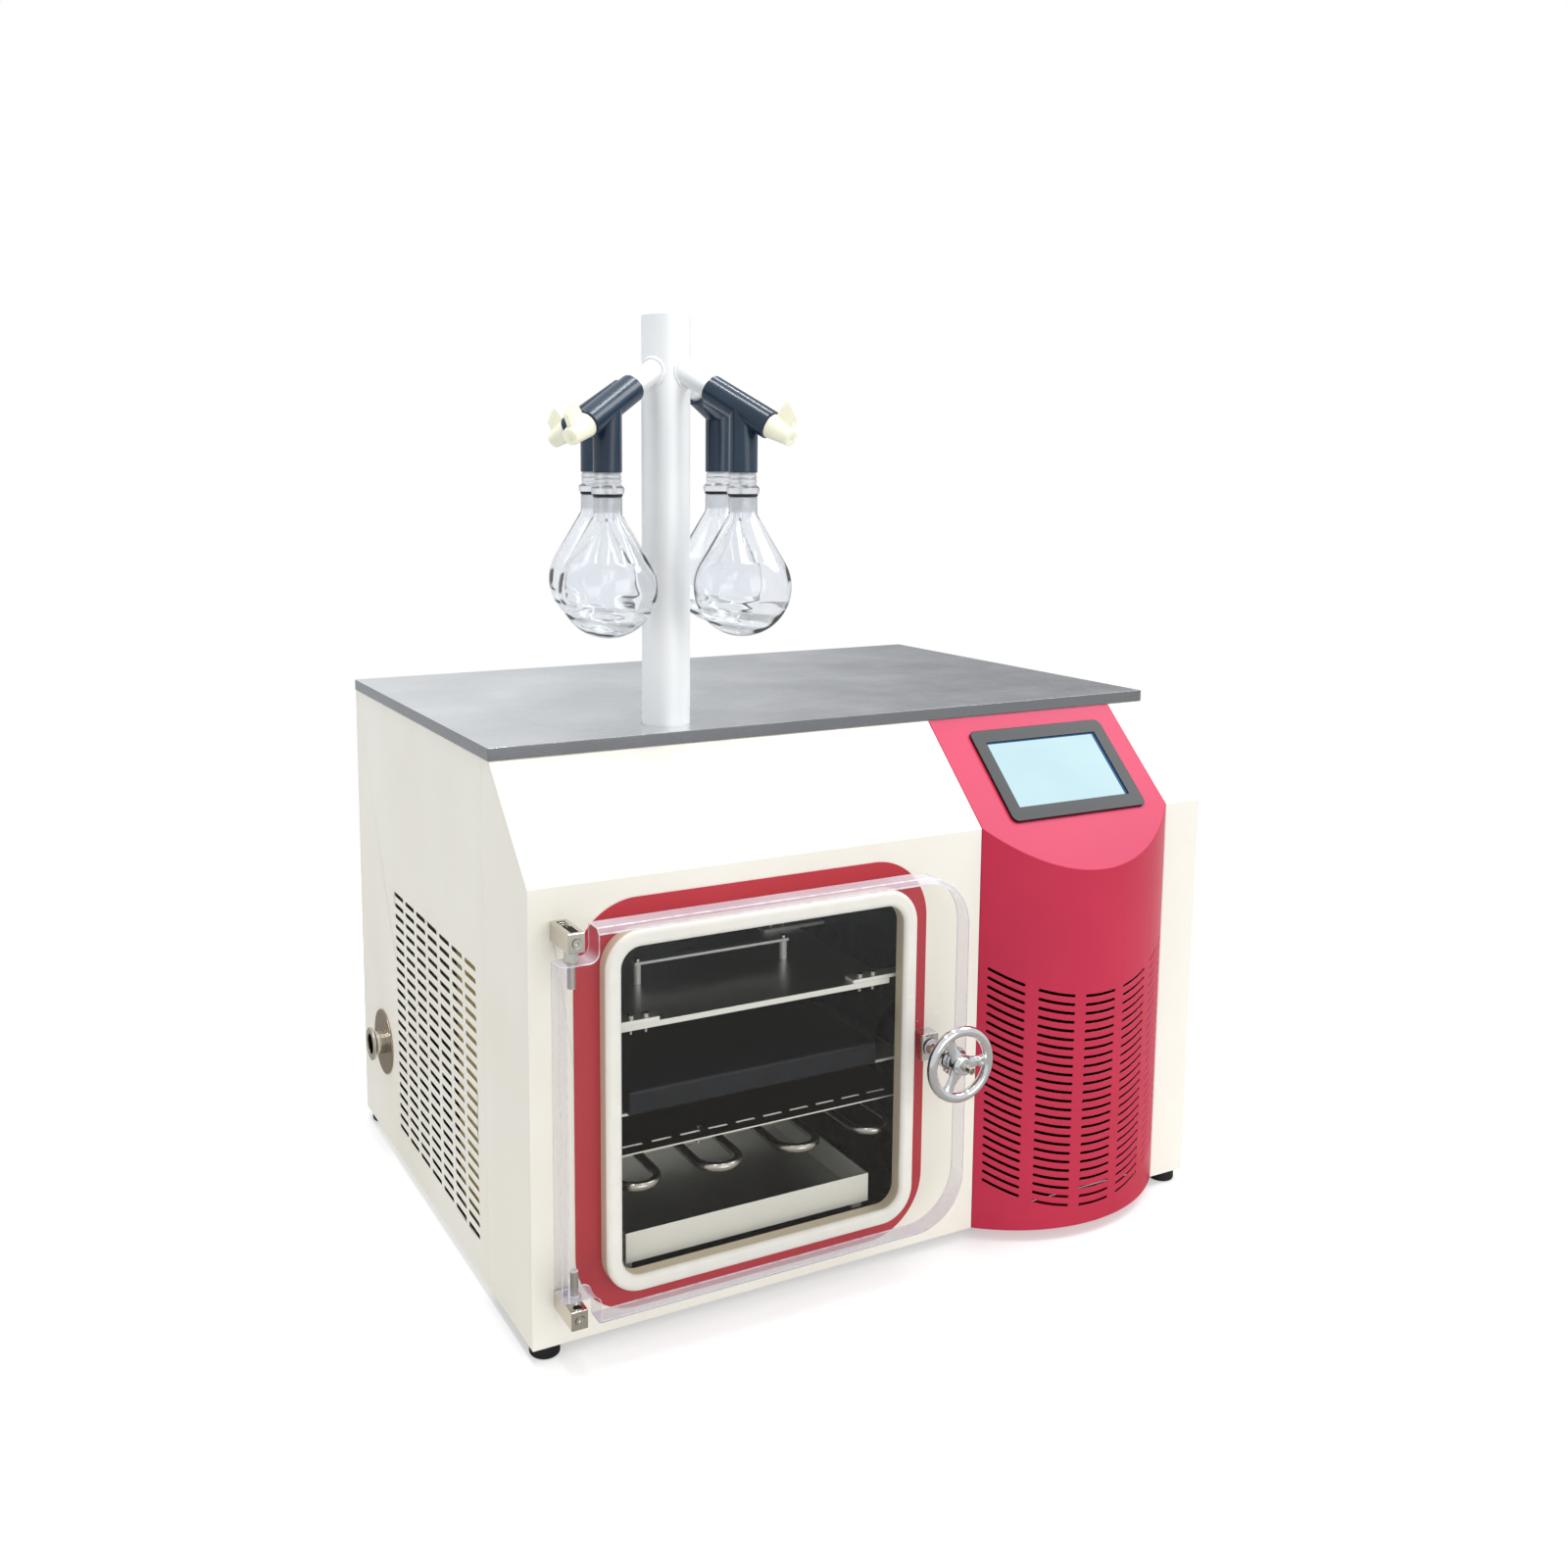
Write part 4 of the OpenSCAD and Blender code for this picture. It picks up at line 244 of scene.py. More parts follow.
# Disc of the side port: heat-tinted to a brown grey.
port_steel = brushed("brushed_stainless_port", "#A2917E", "#B0A08D", 0.3, "Z")
# Handle and brackets: an even satin without clear reflections, and a bright painted highlight on their
# upright faces.
fitting_steel = brushed("bead_blasted_stainless", "#D8D8D4", "#E4E4E0", 0.5, "X", cut="#F0F0EE", bare=0.3)
# Post: nearly white, as its oxide scatters a part of the light like matt paint.
post_aluminium = brushed("drawn_aluminium", "#F2F4F5", "#F9FAFA", 0.56, "Z", 0.05, metallic=0.72)
# Chamber: stainless steel painted dark grey, a painted shade for its dim inside, with faint reflections.
liner_steel = brushed("stainless_liner", "#3C414C", "#4C4D48", 0.25, "X")
# Baffle: black, with a bright painted highlight on the walls of its punched slots.
punched_plate = brushed("blackened_steel_punched", "#17181B", "#202124", 0.4, "X", cut="#E6E4DC", bare=0.3)
# Coil: silvery with a warm cast.
coil_copper = brushed("tinned_copper", "#B9B6AE", "#C9C6BF", 0.22, "Y", 0.05)


def polished(name, colour, roughness):
    """Plated metal, with the faint haze that handling leaves on it."""
    made, tree = finish(name)
    spot = add(tree, "ShaderNodeTexCoord").outputs["Object"]
    haze = add(tree, "ShaderNodeTexNoise", {"Vector": spot, "Scale": 1 / (9 * MM), "Detail": 3.0})
    gloss = add(tree, "ShaderNodeMapRange", {"Value": haze.outputs["Fac"], "To Min": roughness,
                                             "To Max": roughness + 0.08})
    show(tree, Base_Color=linear(colour), Metallic=1.0, Roughness=gloss.outputs[0])
    return made


NICKEL = "#D3CEC4"                      # a shade yellower than chromium
chrome = polished("chromium_plate", "#E2E3E4", 0.05)
nickel = polished("nickel_plate", NICKEL, 0.08)
bright_steel = polished("turned_steel", "#D9D5CC", 0.14)


def nickel_with_painted_slot():
    """Nickel-plated block whose milled top slot is drawn as painted shade: a
    near-black patch on its top face, crossed by one bright bridge of plain nickel."""
    made, tree = finish("nickel_plate_painted_slot")
    where = add(tree, "ShaderNodeTexCoord")
    place = add(tree, "ShaderNodeSeparateXYZ", {"Vector": where.outputs["Object"]})
    facing = add(tree, "ShaderNodeSeparateXYZ", {"Vector": where.outputs["Normal"]})
    slot, slot_half_width, slot_half_length = at(29.8, -23, 0), 4 * MM, 18 * MM
    crossing, crossing_half_width = at(29.8, -19, 0), 2 * MM
    across = add(tree, "ShaderNodeMath", {0: place.outputs["X"], 1: slot.x, 2: slot_half_width},
                 operation="COMPARE")
    along = add(tree, "ShaderNodeMath", {0: place.outputs["Y"], 1: slot.y, 2: slot_half_length},
                operation="COMPARE")
    bridge = add(tree, "ShaderNodeMath", {0: place.outputs["Y"], 1: crossing.y, 2: crossing_half_width},
                 operation="COMPARE")
    up = add(tree, "ShaderNodeMath", {0: facing.outputs["Z"], 1: 0.9}, operation="GREATER_THAN")
    # Painted shade: the patch is near black, matt and not metal, where the slot's hollow lies in shade.
    slot_rectangle = add(tree, "ShaderNodeMath", {0: across.outputs[0], 1: along.outputs[0]}, operation="MULTIPLY")
    painted_slot_patch = add(tree, "ShaderNodeMath", {0: slot_rectangle.outputs[0], 1: up.outputs[0]}, operation="MULTIPLY")
    dark = add(tree, "ShaderNodeMath", {0: painted_slot_patch.outputs[0], 1: bridge.outputs[0]}, operation="SUBTRACT",
               use_clamp=True)
    colour = add(tree, "ShaderNodeMix", {"Factor": dark.outputs[0], 6: linear(NICKEL),
                                         7: linear("#070708")}, data_type="RGBA")
    metal = add(tree, "ShaderNodeMapRange", {"Value": dark.outputs[0], "To Min": 1.0, "To Max": 0.0})
    gloss = add(tree, "ShaderNodeMapRange", {"Value": dark.outputs[0], "To Min": 0.11, "To Max": 1.0})
    show(tree, Base_Color=colour.outputs[2], Metallic=metal.outputs[0], Roughness=gloss.outputs[0])
    return made


hinge_nickel = nickel_with_painted_slot()


def moulded(name, dark, light, roughness, grain, relief=0.04, **more):
    """Moulded, cast or painted stuff: a fine grain, drawn as coarse as it has to
    be to show, and a colour that drifts a little over twelve grains."""
    made, tree = finish(name)
    spot = add(tree, "ShaderNodeTexCoord").outputs["Object"]
    pores = add(tree, "ShaderNodeTexNoise", {"Vector": spot, "Scale": 1 / (grain * MM), "Detail": 2.0})
    skin = add(tree, "ShaderNodeBump", {"Height": pores.outputs["Fac"], "Strength": 0.15,
                                        "Distance": relief * MM})
    show(tree, Base_Color=patchy(tree, spot, 12 * grain, dark, light), Roughness=roughness,
         Normal=skin.outputs[0], **more)
    return made


# Valves: blue-black and smooth, with one sharp line of gloss along each barrel.
valve_rubber = moulded("neoprene", "#182A3C", "#203549", 0.24, 4.0, 0.002)
# Feet and rings: plain black rubber, the feet the dustier.
foot_rubber = moulded("black_rubber", "#101012", "#17171A", 0.6, 0.8)
ring_rubber = moulded("nitrile_rubber", "#0F1012", "#16171A", 0.45, 0.8)
# Knobs: waxy ivory that glows a little where light enters it.
ivory_plastic = moulded("polypropylene_ivory", "#F1EFD6", "#F7F6E4", 0.28, 2.0, Subsurface_Weight=0.25,
                        Subsurface_Radius=(0.006, 0.005, 0.003), Subsurface_Scale=1.0)
# Black parts, from the glossy screen frame to the dull heated shelf.
black_plastic = moulded("black_abs", "#121214", "#18181B", 0.3, 1.0)
bezel_gloss = moulded("black_acrylic_bezel", "#0C0C0E", "#101013", 0.12, 2.0, 0.01, Specular_IOR_Level=0.2)
black_enamel = moulded("black_enamel", "#0F1012", "#17181B", 0.22, 3.0)
dark_plate = moulded("black_anodised_plate", "#0E1219", "#141923", 0.34, 1.0, Specular_IOR_Level=0.3)
# Inside the cabinet: yellow foam, condenser fins painted black as the shade inside the cabinet, grey-black
# nylon and a green board.
jacket_foam = moulded("polyurethane_foam", "#CDB877", "#DCCB92", 0.85, 1.6, 0.4)
fins_black_as_shade = moulded("painted_shade_black_aluminium", "#1B1C1E", "#26272A", 0.45, 2.0)
fan_nylon = moulded("glass_filled_nylon", "#17171A", "#202024", 0.5, 1.0)
green_board = moulded("solder_mask", "#0F4A2B", "#15573A", 0.3, 2.0)


def silicone():
    """Silicone rubber gasket: milk white on its face, and tan on its sides, where
    the tan is painted shade."""
    made, tree = finish("silicone_rubber")
    where = add(tree, "ShaderNodeTexCoord")
    facing = add(tree, "ShaderNodeSeparateXYZ", {"Vector": where.outputs["Normal"]})
    square_on = add(tree, "ShaderNodeMath", {0: facing.outputs["Y"]}, operation="ABSOLUTE")
    # Painted shade: faces that turn sideways mix towards tan.
    side = add(tree, "ShaderNodeMapRange", {"Value": square_on.outputs[0], "From Min": 0.45, "From Max": 0.1})
    face = patchy(tree, where.outputs["Object"], 14, "#F0EEE8", "#F5F3ED")
    body = add(tree, "ShaderNodeMix", {"Factor": side.outputs[0], 6: face, 7: linear("#CDBFA8")},
               data_type="RGBA")
    show(tree, Base_Color=body.outputs[2], Roughness=0.42, Subsurface_Weight=0.1,
         Subsurface_Radius=(0.004, 0.004, 0.003), Subsurface_Scale=1.0)
    return made


seal_silicone = silicone()


def acrylic_sheet():
    """Cast acrylic, polished: it shows what is behind it and mirrors the room
    weakly, more so at a glance, as a sheet with parallel faces does."""
    made, tree = finish("cast_acrylic")
    graze = add(tree, "ShaderNodeLayerWeight", {"Blend": 0.5})
    steep = add(tree, "ShaderNodeMath", {0: graze.outputs["Facing"], 1: 5.0}, operation="POWER")
    rim = add(tree, "ShaderNodeMapRange", {"Value": steep.outputs[0], "To Min": 0.02})
    glass = add(tree, "ShaderNodeBsdfTransparent", {"Color": linear("#FDFDFC")})
    mirror = add(tree, "ShaderNodeBsdfPrincipled", {"Base Color": linear("#FFFFFF"), "Metallic": 1.0,
                                                    "Roughness": 0.03})
    sheet = add(tree, "ShaderNodeMixShader", {0: rim.outputs[0], 1: glass.outputs[0], 2: mirror.outputs[0]})
    add(tree, "ShaderNodeOutputMaterial", {"Surface": sheet.outputs[0]})
    return made


def sawn_acrylic(name, milkiness, on_top):
    """The same acrylic where a saw cut it or a scraper broke the edge: fine
    scratches scatter a part of the light, so it looks milky over what lies
    behind, and edges that face up are milkier still, a painted light where the
    light from above falls on them."""
    made, tree = finish(name)
    where = add(tree, "ShaderNodeTexCoord")
    stretch = add(tree, "ShaderNodeMapping", {"Vector": where.outputs["Object"],
                                              "Scale": (1 / (9 * MM), 1 / (40 * MM), 1 / (9 * MM))})
    saw = add(tree, "ShaderNodeTexNoise", {"Vector": stretch.outputs[0], "Scale": 1.0, "Detail": 3.0})
    share = add(tree, "ShaderNodeMapRange", {"Value": saw.outputs["Fac"], "From Min": 0.3, "From Max": 0.7,
                                             "To Min": milkiness * 0.7, "To Max": milkiness * 1.3})
    facing = add(tree, "ShaderNodeSeparateXYZ", {"Vector": where.outputs["Normal"]})
    # Painted light: faces that turn up are made milkier, as the light from above falls on them.
    upward_light = add(tree, "ShaderNodeMapRange", {"Value": facing.outputs["Z"], "To Max": on_top})
    scatter = add(tree, "ShaderNodeMath", {0: share.outputs[0], 1: upward_light.outputs[0]}, operation="ADD",
                  use_clamp=True)
    glass = add(tree, "ShaderNodeBsdfTransparent", {"Color": linear("#F2F0F4")})
    milk = add(tree, "ShaderNodeBsdfPrincipled", {"Base Color": linear("#D3D1DA"), "Roughness": 0.2,
                                                  "IOR": 1.49})
    cut = add(tree, "ShaderNodeMixShader", {0: scatter.outputs[0], 1: glass.outputs[0], 2: milk.outputs[0]})
    add(tree, "ShaderNodeOutputMaterial", {"Surface": cut.outputs[0]})
    return made


acrylic_face = acrylic_sheet()
# Saw cuts stay nearly clear, while the broken edges draw the door's outline.
acrylic_edge = sawn_acrylic("cast_acrylic_sawn", 0.06, 0.5)
acrylic_corner = sawn_acrylic("cast_acrylic_scraped", 0.72, 0.2)


def blown_glass():
    """Borosilicate glass: clear and water-white, and ground matt from the foot of
    a flask's neck upwards."""
    made, tree = finish("borosilicate_glass")
    spot = add(tree, "ShaderNodeTexCoord").outputs["Object"]
    high = add(tree, "ShaderNodeSeparateXYZ", {"Vector": spot})
    clear, matt = at(0, 0, 780).z, at(0, 0, 783).z      # up to where clear, and from where matt
    ground = add(tree, "ShaderNodeMapRange", {"Value": high.outputs["Z"], "From Min": clear,
                                              "From Max": matt, "To Min": 0.0, "To Max": 0.28})
    show(tree, Base_Color=linear("#FCFDFE"), Roughness=ground.outputs[0], IOR=1.47, Transmission_Weight=1.0)
    return made


labware_glass = blown_glass()


def lcd():
    """Lit liquid-crystal panel behind glass: an even pale blue field, with the
    dark blue line of the panel's frame at its top and right."""
    made, tree = finish("lcd_panel")
    spot = add(tree, "ShaderNodeTexCoord").outputs["Object"]
    place = add(tree, "ShaderNodeSeparateXYZ", {"Vector": spot})
    frame_left = at(720, 0, 0).x
    frame_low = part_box("screen_glass")[1].z - 3 * MM
    right = add(tree, "ShaderNodeMath", {0: place.outputs["X"], 1: frame_left}, operation="GREATER_THAN")
    top = add(tree, "ShaderNodeMath", {0: place.outputs["Z"], 1: frame_low}, operation="GREATER_THAN")
    line = add(tree, "ShaderNodeMath", {0: right.outputs[0], 1: top.outputs[0]}, operation="MAXIMUM")
    glow = add(tree, "ShaderNodeMix", {"Factor": line.outputs[0],
                                       6: patchy(tree, spot, 90, "#C6E6EE", "#CFEDF3"),
                                       7: linear("#2E5C8A")}, data_type="RGBA")
    show(tree, Base_Color=linear("#0C1014"), Roughness=0.35, Specular_IOR_Level=0.1,
         Emission_Color=glow.outputs[2], Emission_Strength=1.0)
    return made


lit_panel = lcd()

# ------------------------------------------------------ nodes kept as they are

KEPT = {
    cream_coat: ["front_shell", "left_panel", "right_panel", "rear_panel"],
    console_coat: ["console_shell"],
    red_coat: ["red_surround"],
    top_steel: ["top_plate"],
    post_aluminium: ["manifold_post", "post_flange"],
    fins_black_as_shade: ["condenser"],
    coil_copper: ["evaporator_coil"],
    liner_steel: ["chamber_liner"],
    tray_steel: ["drip_tray", "top_shelf"],
    port_steel: ["vacuum_port_plate"],
    fitting_steel: ["shelf_handle", "shelf_brackets"],
    chrome: ["clamp_washer", "screw_bushing", "latch_nut"],
    bright_steel: ["clamp_screw", "hinge_pins", "vacuum_pipe"],
    hinge_nickel: ["hinge_blocks"],
    nickel: ["fixing_screws", "vacuum_port", "fan_motor"],
    ivory_plastic: [f"valve_knob_{i}" for i in BRANCHES],
    ring_rubber: ["joint_rings"],
    lit_panel: ["screen_glass"],
    bezel_gloss: ["screen_bezel"],
    green_board: ["control_board"],
    # The base tray is black as a painted shade, so the console's lowest slots show dark.
    black_enamel: ["compressor", "base_tray"],
    fan_nylon: ["fan_shroud", "fan"],
    black_plastic: ["power_inlet", "power_switch"],
    jacket_foam: ["insulation_jacket"],
    dark_plate: ["heating_shelf"],
    punched_plate: ["baffle_plate"],
    foot_rubber: ["feet"],
}
for coat, names in KEPT.items():
    for name in names:
        mesh = nodes[name].data
        mesh.materials.clear()
        mesh.materials.append(coat)


def round_edges(thing, width):
    """Rounds the sharp edges of one thing by a width in mm."""
    edge = thing.modifiers.new("edge", "BEVEL")
    edge.width = width * MM
    edge.segments = 2
    edge.limit_method = "ANGLE"
    edge.angle_limit = SHARP
    edge.use_clamp_overlap = False
    return edge


def shade_flats(thing):
    """Keeps the flats of a smooth-shaded thing flat beside its rounded edges."""
    thing.modifiers.new("shade", "WEIGHTED_NORMAL").weight = 100


def ease(width, *names):
    """Eases the edges of kept nodes, as a folding brake, a file or a mould
    leaves them."""
    for name in names:
        node = nodes[name]
        weld = node.modifiers.new("weld", "WELD")
        weld.merge_threshold = SAME_POINT
        flat = node.modifiers.new("flat", "DECIMATE")
        flat.decimate_type = "DISSOLVE"
        flat.angle_limit = FLAT
        round_edges(node, width)
        shade_flats(node)


ease(1.0, "front_shell", "left_panel", "right_panel", "rear_panel")
ease(0.9, "top_plate")
ease(0.7, "console_shell", "screen_bezel", "hinge_blocks", "latch_nut")
ease(0.5, "red_surround", "top_shelf", "shelf_brackets", "shelf_handle", "heating_shelf", "drip_tray",
     "vacuum_port_plate", "vacuum_port", "base_tray")
ease(0.3, "screw_bushing", "clamp_washer", "clamp_screw", "post_flange")


def soften(voxel, rounds, keep, *names):
    """Gives moulded nodes the soft edges and fillets that a mould gives: each is
    rebuilt from cells of a size in mm, smoothed for some rounds, and thinned to
    a share of its faces."""
    for name in names:
        node = nodes[name]
        skin = node.modifiers.new("skin", "REMESH")
        skin.mode = "VOXEL"
        skin.voxel_size = voxel * MM
        skin.use_smooth_shade = True
        rub = node.modifiers.new("rub", "SMOOTH")
        rub.factor = 0.5
        rub.iterations = rounds
        thin = node.modifiers.new("thin", "DECIMATE")
        thin.ratio = keep


soften(0.6, 8, 0.5, *KEPT[ivory_plastic])

# ------------------------------------------------------------ making pieces


def piece(name, mesh, body, coats, *stands_for, edges=0):
    """Puts a mesh in the scene on one body, in place of the nodes it stands for.
    Its sharp edges are rounded if a width is given, and wear the last coat."""
    made = bpy.data.objects.new(name, mesh)
    bpy.context.scene.collection.objects.link(made)
    for coat in coats:
        mesh.materials.append(coat)
    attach(made, body)
    if stands_for:
        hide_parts(*stands_for)
    if edges:
        round_edges(made, edges).material = len(coats) - 1
    shade_flats(made)


def mesh_of(name, build):
    """Ends a mesh under construction: faces outward and smooth."""
    bmesh.ops.recalc_face_normals(build, faces=build.faces)
    for face in build.faces:
        face.smooth = True
    mesh = bpy.data.meshes.new(name)
    build.to_mesh(mesh)
    build.free()
    return mesh


def oval(build, centre, wide, high, steps):
    """A ring of points about a centre, on an ellipse of two half axes in mm."""
    angles = [math.tau * s / steps for s in range(steps)]
    return [build.verts.new(centre + (wide * math.cos(a) + high * math.sin(a)) * MM) for a in angles]


def skin_over(build, rings, closed=True):
    """Joins rings of equally many points, each to the next, into one skin."""
    for k, ring in enumerate(rings if closed else rings[:-1]):
        following = rings[(k + 1) % len(rings)]
        for s in range(len(ring)):
            build.faces.new([ring[s - 1], ring[s], following[s], following[s - 1]])


def rounded(corners, steps=6):
    """Closed outline whose corners, given as x, y and radius, are rounded off."""
    points = []
    for k, (x, y, radius) in enumerate(corners):
        here = Vector((x, y))
        back = (Vector(corners[k - 1][:2]) - here).normalized()
        on = (Vector(corners[(k + 1) % len(corners)][:2]) - here).normalized()
        half = back.angle(on) / 2
        if radius == 0:
            points.append(here)
            continue
        centre = here + (back + on).normalized() * (radius / math.sin(half))
        start = here + back * (radius / math.tan(half)) - centre
        end = here + on * (radius / math.tan(half)) - centre
        first = math.atan2(start.y, start.x)
        turn = (math.atan2(end.y, end.x) - first + math.pi) % math.tau - math.pi
        for s in range(steps + 1):
            angle = first + turn * s / steps
            points.append(centre + Vector((math.cos(angle), math.sin(angle))) * radius)
    return points


def spin(build, outline, centre, axis, steps=96, wave=None):
    """Turns a closed outline of radius and height, in mm, about an axis; a wave
    shifts a point out and up by the angle, radius and height it lies at."""
    stand = Vector((0, 0, 1)).rotation_difference(Vector(axis)).to_matrix()
    rings = []
    for radius, high in outline:
        ring = []
        for s in range(steps):
            angle = math.tau * s / steps
            out, up = wave(angle, radius, high) if wave else (0, 0)
            reach = radius + out
            ring.append(build.verts.new(centre + stand @ Vector(
                (reach * math.cos(angle), reach * math.sin(angle), high + up)) * MM))
            if radius == 0:         # on the axis, where one point serves the whole ring
                ring = ring * steps
                break
        rings.append(ring)
    for k, ring in enumerate(rings):
        following = rings[(k + 1) % len(rings)]
        for s in range(steps):
            quad = [ring[s], ring[(s + 1) % steps], following[(s + 1) % steps], following[s]]
            corners = [v for n, v in enumerate(quad) if v not in quad[:n]]
            if len(corners) > 2:
                build.faces.new(corners)


# -------------------------------------------------------------------- seal

MOUTH_LEFT, MOUTH_RIGHT, MOUTH_LOW, MOUTH_HIGH, MOUTH_RADIUS = 87, 403, 59, 384, 20


def door_seal():
    """Silicone ring round the chamber's mouth, rounded where the door presses."""
    # The section's corners: out from the mouth's edge, back from the cabinet's
    # front (so negative is before it), and their radius.
    section = rounded([(0.2, -1.2, 0.5), (0.2, -17.6, 5.5), (16.9, -17.6, 5.5), (16.9, -1.2, 0.5)], 8)
    left, right = MOUTH_LEFT + MOUTH_RADIUS, MOUTH_RIGHT - MOUTH_RADIUS
    low, high = MOUTH_LOW + MOUTH_RADIUS, MOUTH_HIGH - MOUTH_RADIUS
    build = bmesh.new()
    rings = []
    for cx, cz, first in ((right, high, 0), (left, high, 90), (left, low, 180), (right, low, 270)):
        for s in range(13):
            angle = math.radians(first + 90 * s / 12)
            rings.append([build.verts.new(at(cx + (MOUTH_RADIUS + out) * math.cos(angle), deep,
                                             cz + (MOUTH_RADIUS + out) * math.sin(angle)))
                          for out, deep in section])
    skin_over(build, rings)
    return mesh_of("door_seal_ring", build)


piece("door_seal_ring", door_seal(), "cabinet", [seal_silicone], "door_seal")

# -------------------------------------------------------------------- door


def door_sheet():
    """Acrylic door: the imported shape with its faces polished, its sides and
    bores left as the saw and drill leave them, and each edge just broken."""
    build = bmesh.new()
    build.from_mesh(nodes["door_plate"].data)
    bmesh.ops.remove_doubles(build, verts=build.verts, dist=SAME_POINT)
    bmesh.ops.dissolve_limit(build, angle_limit=FLAT, verts=build.verts, edges=build.edges)
    build.normal_update()
    for face in build.faces:
        face.material_index = 0 if abs(face.normal.y) > 0.95 else 1
    return mesh_of("door_sheet", build)


piece("door_sheet", door_sheet(), "door", [acrylic_face, acrylic_edge, acrylic_corner], "door_plate",
      edges=0.9)

# --------------------------------------------------------------- handwheel

WHEEL = at(438.5, -67, 226.5)
RIM_RADIUS, RIM_THICK = 34.75, 5.25
BOSS_RADIUS = 0.7 * RIM_RADIUS          # how far out on its spoke the handle's boss stands
# A spoke's sections: distance from the wheel's axis, half width, half thickness
SPOKE = ((8, 8, 5), (12, 6.6, 3.6), (17, 5.6, 3), (24, 5.2, 2.8), (29, 6, 3.2), (32, 8.5, 4), (34.5, 12, 4.8))


def handwheel():
    """Cast and plated handwheel: round rim, three spokes that spread into rim
    and hub, and a boss for a handle on one of them."""
    build = bmesh.new()
    towards_user = (0, -1, 0)
    rim = [(RIM_RADIUS + RIM_THICK * math.cos(a * math.tau / 24), RIM_THICK * math.sin(a * math.tau / 24))
           for a in range(24)]
    spin(build, rim, WHEEL, towards_user, 144)
    hub = rounded([(4.1, -8.7, 0.4), (11, -8.7, 1), (11, 4, 3), (8.6, 9, 1.6), (4.1, 9, 0.5)])
    spin(build, hub, WHEEL, towards_user, 72)
    boss = rounded([(2, 2, 0.3), (6, 2, 0.5), (4.5, 5, 1), (2, 5, 0.4)])
    spin(build, boss, WHEEL + Vector((BOSS_RADIUS, 0, 0)) * MM, towards_user, 48)
    for angle in (0, 120, 240):
        out = Vector((math.cos(math.radians(angle)), 0, math.sin(math.radians(angle))))
        side = Vector((-out.z, 0, out.x))
        skin_over(build, [oval(build, WHEEL + out * radius * MM, side * half_width,
                               Vector((0, half_thick, 0)), 24)
                          for radius, half_width, half_thick in SPOKE], closed=False)
    return mesh_of("clamp_handwheel", build)


piece("clamp_handwheel", handwheel(), "wheel", [chrome], "handwheel")

# ---------------------------------------------------------------- manifold

POST_X, POST_Y, BRANCH_Z, POST_RADIUS = 213, 151, 933, 25
BRANCH_SLOPE, BRANCH_RADIUS = math.radians(27.5), 13.2
LEG_REACH = 95


def branch_way(i):
    """Level direction of a branch, outwards from the post."""
    bearing = math.radians(-62.5 + 90 * (i - 1))
    return Vector((math.cos(bearing), math.sin(bearing), 0))


def branch_axis(i):
    """Direction of a branch, which slopes down as it goes out."""
    return branch_way(i) * math.cos(BRANCH_SLOPE) - Vector((0, 0, math.sin(BRANCH_SLOPE)))


def leg_foot(i, z):
    """A point on the axis of a valve's upright leg."""
    out = branch_way(i) * LEG_REACH
    return at(POST_X + out.x, POST_Y + out.y, z)


def weld_beads():
    """The rippled bead that joins each branch to the post, along the line where
    the two tubes meet."""
    build = bmesh.new()
    steps = 72
    for i in BRANCHES:
        axis = branch_axis(i)
        side = branch_way(i).cross(Vector((0, 0, -1)))
        up = axis.cross(side)
        seam = []
        for s in range(steps):
            angle = math.tau * s / steps
            off = (side * math.cos(angle) + up * math.sin(angle)) * BRANCH_RADIUS
            # how far along the branch this line of its tube runs into the post's
            level, run = Vector((off.x, off.y, 0)), Vector((axis.x, axis.y, 0))
            half = run.dot(level) / run.dot(run)
            reach = -half + math.sqrt(half * half - (level.dot(level) - POST_RADIUS ** 2) / run.dot(run))
            seam.append(off + axis * reach)
        rings = []
        for s, spot in enumerate(seam):
            tangent = (seam[(s + 1) % steps] - seam[s - 1]).normalized()
            outward = Vector((spot.x, spot.y, 0)).normalized()
            across = tangent.cross(outward).normalized()
            turn = math.tau * s / steps
            fat = 1.7 + 0.12 * math.sin(18 * turn) + 0.25 * math.sin(3 * turn + i)
            centre = at(POST_X, POST_Y, BRANCH_Z) + spot * MM
            rings.append(oval(build, centre, outward * fat, across * fat, 12))
        skin_over(build, rings)
    return mesh_of("weld_beads", build)


piece("weld_beads", weld_beads(), "cabinet", [post_aluminium])

BARREL_NEAR, BARREL_FAR = 56, 127       # the barrel's ends, measured level from the post's axis
LEG_TOP, LEG_LOW = 883.5, 821
VALVE_RADIUS, PLUG_BORE, LEG_BORE = 14.2, 10.05, 9.1    # all three are radii


